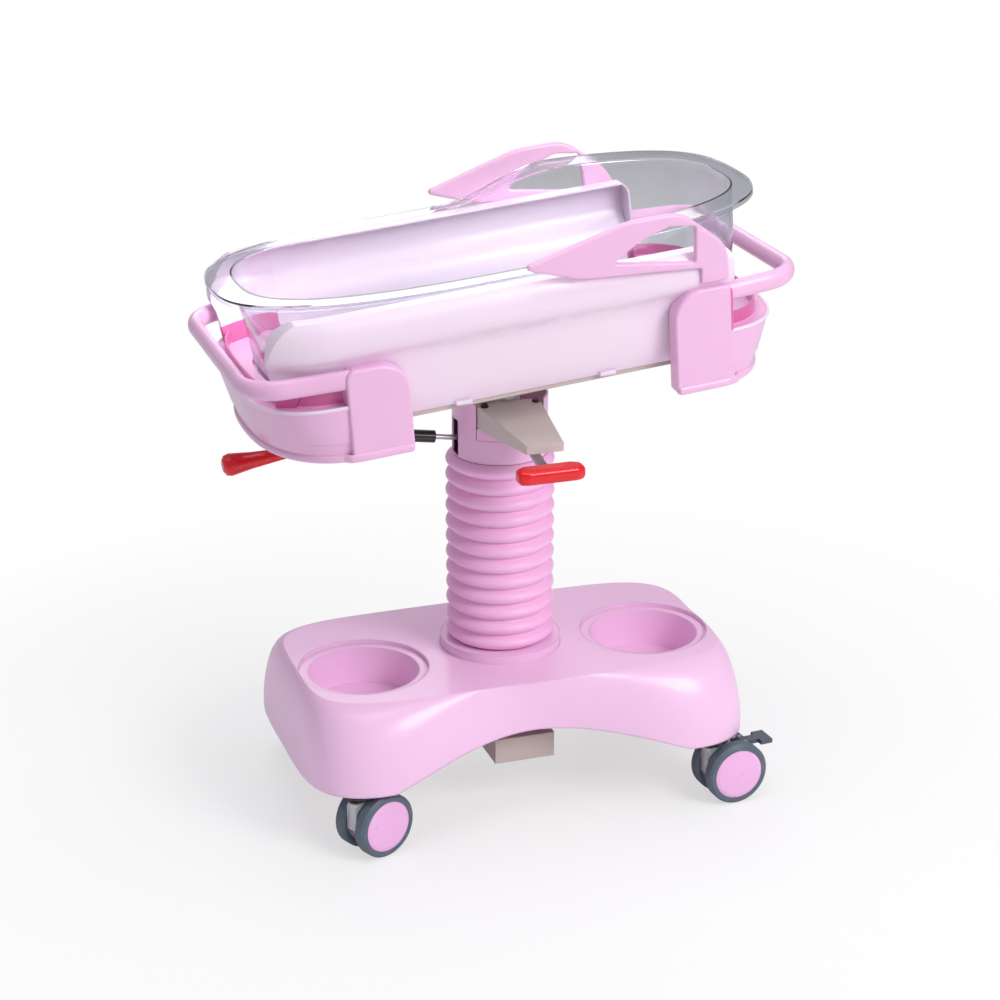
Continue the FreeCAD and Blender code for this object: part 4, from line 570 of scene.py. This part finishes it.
# %% [markdown]
# ## From a rule to a plain mesh
#
# A rule becomes a plain mesh in three steps: a modifier runs it, the evaluated object is
# turned into a mesh, and the modifier goes away with its object.  The faces are then
# turned outward, because a grid rolled into a tube may come out inside out.

# %% Run a rule
def face_outward(mesh):
    """Turns the faces of a closed mesh so that its volume is positive."""
    shell = bmesh.new()
    shell.from_mesh(mesh)
    if shell.calc_volume(signed=True) < 0:
        bmesh.ops.reverse_faces(shell, faces=shell.faces)
    shell.to_mesh(mesh)
    shell.free()


def plain_piece(name, holder):
    """Swaps a holder and its modifiers for the plain object that they make."""
    seen = holder.evaluated_get(bpy.context.evaluated_depsgraph_get())
    mesh = bpy.data.meshes.new_from_object(seen)
    bpy.data.objects.remove(holder)
    mesh.name = name
    face_outward(mesh)
    print(name, len(mesh.polygons), "faces")
    return stand(name, mesh)


def run_rule(name, rule, **settings):
    """The plain object that a rule makes from the settings of its named inputs."""
    holder = stand(name + "_rule", bpy.data.meshes.new(name + "_rule"))
    modifier = holder.modifiers.new("rule", "NODES")
    modifier.node_group = rule
    for socket in rule.interface.items_tree:
        label = socket.name.lower()
        if socket.in_out == "INPUT" and label in settings:
            modifier[socket.identifier] = settings[label]
    return plain_piece(name, holder)


# %% [markdown]
# The bellows stands on the base and closes as the column comes down.  Here it is made as
# tall as the model's bellows and rides with the base.

# %% Bellows
BELLOWS_LOW, BELLOWS_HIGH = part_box("bellows")
bellows = run_rule("pleated_bellows", BELLOWS_RULE, radius=BELLOWS_HIGH[0], fold=0.0125,
                   wall=0.004, bottom=BELLOWS_LOW[2], top=BELLOWS_HIGH[2], pleats=12,
                   steps=12, facets=96, material=FINISHES["pink_bellows"])
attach(bellows, "base")
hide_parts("bellows")
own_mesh(bellows)

# %% [markdown]
# ## Beads on the end shells
#
# A moulded shell has a rolled lip along its bottom edge and a narrow bead along its top.
# The top bead takes the pale panel finish, a painted highlight along the shell's top edge.
# Both follow the shell's outline, which is a pair of straight sides and a rounded end.  The
# rule walks along that outline with one number from -1 to 1: the middle part turns round
# the end and the outer parts run back along the sides.  Under a cheek the lip steps out.

# %% Bead rule
ROUND_SHARE = 0.7
END_TAPER = 60.0
CHEEK_BLEND = 0.012


def build_bead_rule():
    rule, ins, outs = new_rule(
        "bead_rule",
        [("Reach", FLOAT, 0.4), ("Straight", FLOAT, 0.26), ("Back", FLOAT, 0.2),
         ("Side", FLOAT, 0.21), ("Power", FLOAT, 2.3), ("Level", FLOAT, 0.66),
         ("Half height", FLOAT, 0.005), ("Proud", FLOAT, 0.003), ("Sink", FLOAT, 0.003),
         ("Cheek end", FLOAT, 0.0), ("Cheek proud", FLOAT, 0.0),
         ("Steps", INTEGER, 240), ("Facets", INTEGER, 16), ("Material", MATERIAL, None)])
    take = ins.outputs
    grid = add_node(rule, "GeometryNodeMeshGrid",
                    {"Size X": 2.0, "Size Y": math.tau,
                     "Vertices X": maths(rule, "ADD", take["Steps"], 1.0),
                     "Vertices Y": maths(rule, "ADD", take["Facets"], 1.0)})
    place = add_node(rule, "ShaderNodeSeparateXYZ",
                     {0: add_node(rule, "GeometryNodeInputPosition").outputs[0]})
    walk, around = place.outputs["X"], place.outputs["Y"]
    turned = add_node(rule, "ShaderNodeMapRange",
                      {"Value": walk, "From Min": -ROUND_SHARE, "From Max": ROUND_SHARE,
                       "To Min": -math.pi / 2, "To Max": math.pi / 2}).outputs[0]
    run_back = add_node(rule, "ShaderNodeMapRange",
                        {"Value": maths(rule, "ABSOLUTE", walk), "From Min": ROUND_SHARE,
                         "From Max": 1.0, "To Min": 0.0,
                         "To Max": maths(rule, "SUBTRACT", take["Straight"],
                                         take["Back"])}).outputs[0]
    cosine = maths(rule, "ABSOLUTE", maths(rule, "COSINE", turned))
    sine = maths(rule, "SINE", turned)
    steep = maths(rule, "ABSOLUTE", sine)
    power = maths(rule, "DIVIDE", 2.0, take["Power"])
    end_reach = maths(rule, "SUBTRACT", take["Reach"], take["Straight"])
    out_x = maths(rule, "MULTIPLY_ADD", maths(rule, "POWER", cosine, power), end_reach,
                  maths(rule, "SUBTRACT", take["Straight"], run_back))
    side_y = maths(rule, "MULTIPLY", maths(rule, "SIGN", sine),
                   maths(rule, "MULTIPLY", take["Side"],
                         maths(rule, "POWER", steep, power)))
    rest_power = maths(rule, "SUBTRACT", 2.0, power)
    slope_x = maths(rule, "DIVIDE", maths(rule, "POWER", cosine, rest_power), end_reach)
    slope_y = maths(rule, "MULTIPLY", maths(rule, "SIGN", sine),
                    maths(rule, "DIVIDE", maths(rule, "POWER", steep, rest_power),
                          take["Side"]))
    outward = add_node(rule, "ShaderNodeVectorMath",
                       {0: add_node(rule, "ShaderNodeCombineXYZ",
                                    {"X": slope_x, "Y": slope_y}).outputs[0]},
                       operation="NORMALIZE").outputs[0]
    closing = maths(rule, "SQRT", maths(rule, "MINIMUM", 1.0,
                                        maths(rule, "MULTIPLY", END_TAPER,
                                              maths(rule, "SUBTRACT", 1.0,
                                                    maths(rule, "ABSOLUTE", walk)))))
    swing = maths(rule, "COSINE", around)
    depth = maths(rule, "ADD",
                  maths(rule, "MULTIPLY", take["Proud"], maths(rule, "MAXIMUM", swing, 0.0)),
                  maths(rule, "MULTIPLY", take["Sink"], maths(rule, "MINIMUM", swing, 0.0)))
    under_cheek = add_node(rule, "ShaderNodeMapRange",
                           {"Value": out_x, "From Min": take["Cheek end"],
                            "From Max": maths(rule, "ADD", take["Cheek end"],
                                              CHEEK_BLEND),
                            "To Min": take["Cheek proud"], "To Max": 0.0},
                           interpolation_type="SMOOTHSTEP").outputs[0]
    off = maths(rule, "MULTIPLY_ADD", depth, closing, under_cheek)
    shift = add_node(rule, "ShaderNodeVectorMath", {0: outward, "Scale": off},
                     operation="SCALE").outputs[0]
    rise = maths(rule, "MULTIPLY_ADD",
                 maths(rule, "MULTIPLY", maths(rule, "SINE", around), closing),
                 take["Half height"], take["Level"])
    spine = add_node(rule, "ShaderNodeCombineXYZ",
                     {"X": out_x, "Y": side_y, "Z": rise}).outputs[0]
    final = add_node(rule, "ShaderNodeVectorMath", {0: spine, 1: shift}, operation="ADD")
    end_rule(rule, close_surface(rule, grid, final.outputs[0]), ins, outs)
    return rule


BEAD_RULE = build_bead_rule()
print("rule", BEAD_RULE.name, len(BEAD_RULE.nodes), "nodes")

# %% [markdown]
# The lips and beads are drawn level and then turned about the tilt pivot.  The foot end is
# the head end turned half round, with its own reach.

# %% Shell lips and top beads
CRADLE_TURN = (Matrix.Translation((0, 0, PIVOT_HEIGHT)) @ Matrix.Rotation(-TILT, 4, "Y")
               @ Matrix.Translation((0, 0, -PIVOT_HEIGHT)))
ENDS = {
    "foot": dict(turn=Matrix.Rotation(math.pi, 4, "Z"), shift=0.0, cheek_start=0.197,
                 cheek_end=CHEEK_END),
    "head": dict(turn=Matrix.Identity(4), shift=0.018, cheek_start=0.203,
                 cheek_end=CHEEK_END + 0.006),
}
ROUND_START = 0.262
LIP_REACH, LIP_SIDE, LIP_POWER, LIP_HALF_HEIGHT = 0.3952, 0.2085, 2.36, 0.0062
LIP_INSET = 0.001
BEAD_REACH, BEAD_SIDE, BEAD_POWER = 0.4105, 0.217, 3.2
BEAD_DROP = 0.0012


def on_cradle(piece, turn):
    """Turns a level piece into the cradle's resting place and lets it ride there."""
    piece.data.transform(CRADLE_TURN @ turn)
    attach(piece, "cradle")
    return piece


for end, end_place in ENDS.items():
    lip = run_rule("shell_lip_" + end, BEAD_RULE, reach=LIP_REACH - end_place["shift"],
                   straight=ROUND_START, back=end_place["cheek_start"] + LIP_INSET,
                   side=LIP_SIDE, power=LIP_POWER, level=SHELL_BOTTOM + LIP_HALF_HEIGHT,
                   material=FINISHES["pink_shell"],
                   **{"half height": LIP_HALF_HEIGHT, "proud": 0.0038, "sink": 0.003,
                      "cheek end": end_place["cheek_end"], "cheek proud": 0.0062})
    # The top bead wears the pale panel finish as a painted highlight along the shell's top.
    bead = run_rule("shell_highlight_bead_" + end, BEAD_RULE, reach=BEAD_REACH - end_place["shift"],
                    straight=ROUND_START, back=ROUND_START, side=BEAD_SIDE,
                    power=BEAD_POWER, level=SHELL_TOP - BEAD_DROP,
                    material=FINISHES["pale_panel"],
                    **{"half height": 0.0028, "proud": 0.0022, "sink": 0.003})
    for piece, slot in ((lip, "pink_shell"), (bead, "pale_panel")):
        on_cradle(piece, end_place["turn"])

# %% [markdown]
# ## The sleeve below the hood
#
# The solid sleeve is notched a little lower than the foot of the hood.  A curved strip on
# each side of the lever carries its wall up to the hood, so the sleeve looks whole there.

# %% Sleeve strips
STRIP_STEPS = 20
STRIP_INSET, STRIP_WALL = 0.0004, 0.002
STRIP_ANGLES = {"foot": (-47.4, -9.0), "head": (9.0, 45.2)}
SLEEVE_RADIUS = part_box("column_sleeve")[1][1]
NOTCH_LOW, HOOD_BASE = 0.5845, 0.6023


def arc_strip(name, outer, wall, start, end, low, high):
    """A closed curved strip about the column; angles run from the lever side."""
    shell = bmesh.new()
    rings = []
    for step in range(STRIP_STEPS + 1):
        angle = start + (end - start) * step / STRIP_STEPS
        across, toward = math.sin(angle), -math.cos(angle)
        rings.append([shell.verts.new((radius * across, radius * toward, height))
                      for radius, height in ((outer, low), (outer, high),
                                             (outer - wall, high), (outer - wall, low))])
    for ring, following in zip(rings, rings[1:]):
        for corner in range(4):
            after = (corner + 1) % 4
            shell.faces.new((ring[corner], following[corner], following[after],
                             ring[after]))
    shell.faces.new(rings[0])
    shell.faces.new(rings[-1][::-1])
    mesh = bpy.data.meshes.new(name)
    shell.to_mesh(mesh)
    shell.free()
    face_outward(mesh)
    return stand(name, mesh)


for side, (start, end) in STRIP_ANGLES.items():
    strip = arc_strip("sleeve_strip_" + side, SLEEVE_RADIUS - STRIP_INSET, STRIP_WALL,
                      math.radians(start), math.radians(end), NOTCH_LOW, HOOD_BASE)
    dress(strip, FINISHES["pink_shell"])
    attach(strip, "column_head")
print("sleeve strips at radius", round(SLEEVE_RADIUS, 4))

# %% [markdown]
# ## Soft edges
#
# The guards and the paddle are thick soft-edged mouldings.  Each is remade from its own
# solid: the surface is rebuilt in small even faces and then relaxed, which rounds every
# edge alike and hardly moves the broad faces.

# %% Soften the guards and the paddle
WELD_DISTANCE = 0.00001
RELAX_SHARE = 0.5


def softened(name, node_name, body, face_size, passes):
    """A soft-edged copy of a solid that stands for it."""
    source = frame["nodes"][node_name]
    shell = bmesh.new()
    shell.from_mesh(source.data)
    bmesh.ops.remove_doubles(shell, verts=shell.verts, dist=WELD_DISTANCE)
    whole = bpy.data.meshes.new(name + "_source")
    shell.to_mesh(whole)
    shell.free()
    holder = stand(name + "_source", whole)
    even = holder.modifiers.new("even", "REMESH")
    even.mode = "VOXEL"
    even.voxel_size = face_size
    relax = holder.modifiers.new("relax", "SMOOTH")
    relax.factor = RELAX_SHARE
    relax.iterations = passes
    piece = plain_piece(name, holder)
    piece.data.shade_smooth()
    slot = slot_of(node_name)
    dress(piece, FINISHES[slot])
    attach(piece, body)
    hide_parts(node_name)


softened("soft_paddle", "height_paddle", "height_lever", face_size=0.0009, passes=40)
for side in ("right", "left"):
    softened("soft_guard_" + side, "guard_" + side, "cradle", face_size=0.0016, passes=12)

# %% [markdown]
# ## Fasteners
#
# Two hexagon screws with washers hold the hood at its back corners.  The rule makes one
# from two cylinders and copies it along a line of points.  Half of each washer is sunk, so
# no gap shows under it.

# %% Fastener rule
WASHER_FACETS = 32


def build_fastener_rule():
    rule, ins, outs = new_rule(
        "fastener_rule",
        [("Sides", INTEGER, 6), ("Across", FLOAT, 0.006), ("Height", FLOAT, 0.005),
         ("Washer", FLOAT, 0.009), ("Washer height", FLOAT, 0.0012),
         ("Spacing", FLOAT, 0.1), ("Count", INTEGER, 1), ("Material", MATERIAL, None)])
    take = ins.outputs
    head = add_node(rule, "GeometryNodeMeshCylinder",
                    {"Vertices": take["Sides"], "Radius": take["Across"],
                     "Depth": take["Height"]})
    raised = add_node(rule, "GeometryNodeTransform",
                      {"Geometry": head.outputs["Mesh"],
                       "Translation": add_node(rule, "ShaderNodeCombineXYZ", {
                           "Z": maths(rule, "MULTIPLY_ADD", take["Height"], 0.5,
                                      take["Washer height"])}).outputs[0]})
    washer = add_node(rule, "GeometryNodeMeshCylinder",
                      {"Vertices": WASHER_FACETS, "Radius": take["Washer"],
                       "Depth": maths(rule, "MULTIPLY", take["Washer height"], 2.0)})
    whole = add_node(rule, "GeometryNodeJoinGeometry")
    rule.links.new(raised.outputs[0], whole.inputs[0])
    rule.links.new(washer.outputs["Mesh"], whole.inputs[0])
    line = add_node(rule, "GeometryNodeMeshLine",
                    {"Count": take["Count"],
                     "Offset": add_node(rule, "ShaderNodeCombineXYZ",
                                        {"X": take["Spacing"]}).outputs[0]})
    copies = add_node(rule, "GeometryNodeInstanceOnPoints",
                      {"Points": line.outputs["Mesh"], "Instance": whole.outputs[0]})
    end_rule(rule, copies.outputs[0], ins, outs)
    return rule


FASTENER_RULE = build_fastener_rule()
print("rule", FASTENER_RULE.name, len(FASTENER_RULE.nodes), "nodes")

# %% Hood screws
HOOD_SCREW_PLACE = (-0.0415, -0.051, 0.6368)
HOOD_DROP, HOOD_LENGTH = 0.023, 0.140
HOOD_SLOPE = math.atan2(HOOD_DROP, HOOD_LENGTH)
hood_screws = run_rule("hood_screws", FASTENER_RULE, sides=6, across=0.0048, height=0.0035,
                       washer=0.0062, spacing=0.081, count=2,
                       material=FINISHES["black_steel"], **{"washer height": 0.0010})
hood_screws.data.transform(Matrix.Translation(HOOD_SCREW_PLACE)
                           @ Matrix.Rotation(HOOD_SLOPE, 4, "X"))
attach(hood_screws, "column_head")

# %% [markdown]
# ## Stage
#
# A plain pale floor and a white world.  Near the bassinet the floor is lit and takes its
# shadow; farther out it fades to the white of the backdrop for the camera.  Only camera
# rays see that white, so the lamps and the soft ambient light are set for the bassinet.

# %% Floor
FLOOR_HALF = 30.0
FADE_START, FADE_END, WHITE_SHARE_NEAR = 0.5, 1.3, 0.6
WHITE = (1, 1, 1, 1)
floor_mesh = bpy.data.meshes.new("floor")
floor_mesh.from_pydata([(-FLOOR_HALF, -FLOOR_HALF, 0), (FLOOR_HALF, -FLOOR_HALF, 0),
                        (FLOOR_HALF, FLOOR_HALF, 0), (-FLOOR_HALF, FLOOR_HALF, 0)], [],
                       [(0, 1, 2, 3)])
floor = stand("floor", floor_mesh)

floor_finish, tree, out = new_material("floor_finish")
matt = add_node(tree, "ShaderNodeBsdfDiffuse", {"Color": (0.92, 0.92, 0.92, 1)})
white = add_node(tree, "ShaderNodeEmission", {"Color": WHITE, "Strength": 1.0})
path = add_node(tree, "ShaderNodeLightPath")
distance = add_node(tree, "ShaderNodeVectorMath",
                    {0: add_node(tree, "ShaderNodeTexCoord").outputs["Object"]},
                    operation="LENGTH")
fade = add_node(tree, "ShaderNodeMapRange",
                {"Value": distance.outputs["Value"], "From Min": FADE_START,
                 "From Max": FADE_END, "To Min": WHITE_SHARE_NEAR, "To Max": 1.0})
seen_white = maths(tree, "MULTIPLY", path.outputs["Is Camera Ray"], fade.outputs[0])
mixed = add_node(tree, "ShaderNodeMixShader", {0: seen_white, 1: matt.outputs[0],
                                               2: white.outputs[0]})
tree.links.new(mixed.outputs[0], out.inputs["Surface"])
dress(floor, floor_finish)
print("floor", 2 * FLOOR_HALF, "m across")

# %% World
world = bpy.data.worlds.new("studio")
world.use_nodes = True
bpy.context.scene.world = world
tree = world.node_tree
tree.nodes.clear()
path = add_node(tree, "ShaderNodeLightPath")
backdrop = add_node(tree, "ShaderNodeBackground", {"Color": WHITE, "Strength": 1.0})
ambient = add_node(tree, "ShaderNodeBackground", {"Color": (0.93, 0.93, 1.0, 1),
                                                  "Strength": 0.41})
mixed = add_node(tree, "ShaderNodeMixShader", {0: path.outputs["Is Camera Ray"],
                                               1: ambient.outputs[0],
                                               2: backdrop.outputs[0]})
out = add_node(tree, "ShaderNodeOutputWorld")
tree.links.new(mixed.outputs[0], out.inputs["Surface"])
print("world", world.name)

# %% Lamps
AIM = Vector((0, 0, 0.5))
LAMPS = {
    "key": dict(place=(1.7, -2.9, 2.7), size=1.8, power=82, colour=(1.0, 0.99, 0.98)),
    "top": dict(place=(-0.3, -0.4, 3.4), size=2.2, power=32, colour=(1.0, 1.0, 1.0)),
    "rim": dict(place=(0.6, 2.8, 2.6), size=2.0, power=20, colour=(1.0, 1.0, 1.0)),
}
for name, lamp in LAMPS.items():
    light = bpy.data.lights.new(name, "AREA")
    light.shape = "DISK"
    light.size = lamp["size"]
    light.energy = lamp["power"]
    light.color = lamp["colour"]
    holder = stand(name, light)
    holder.location = lamp["place"]
    holder.rotation_euler = (AIM - Vector(lamp["place"])).to_track_quat("-Z", "Y").to_euler()
    print("lamp", name, lamp["power"], "W")
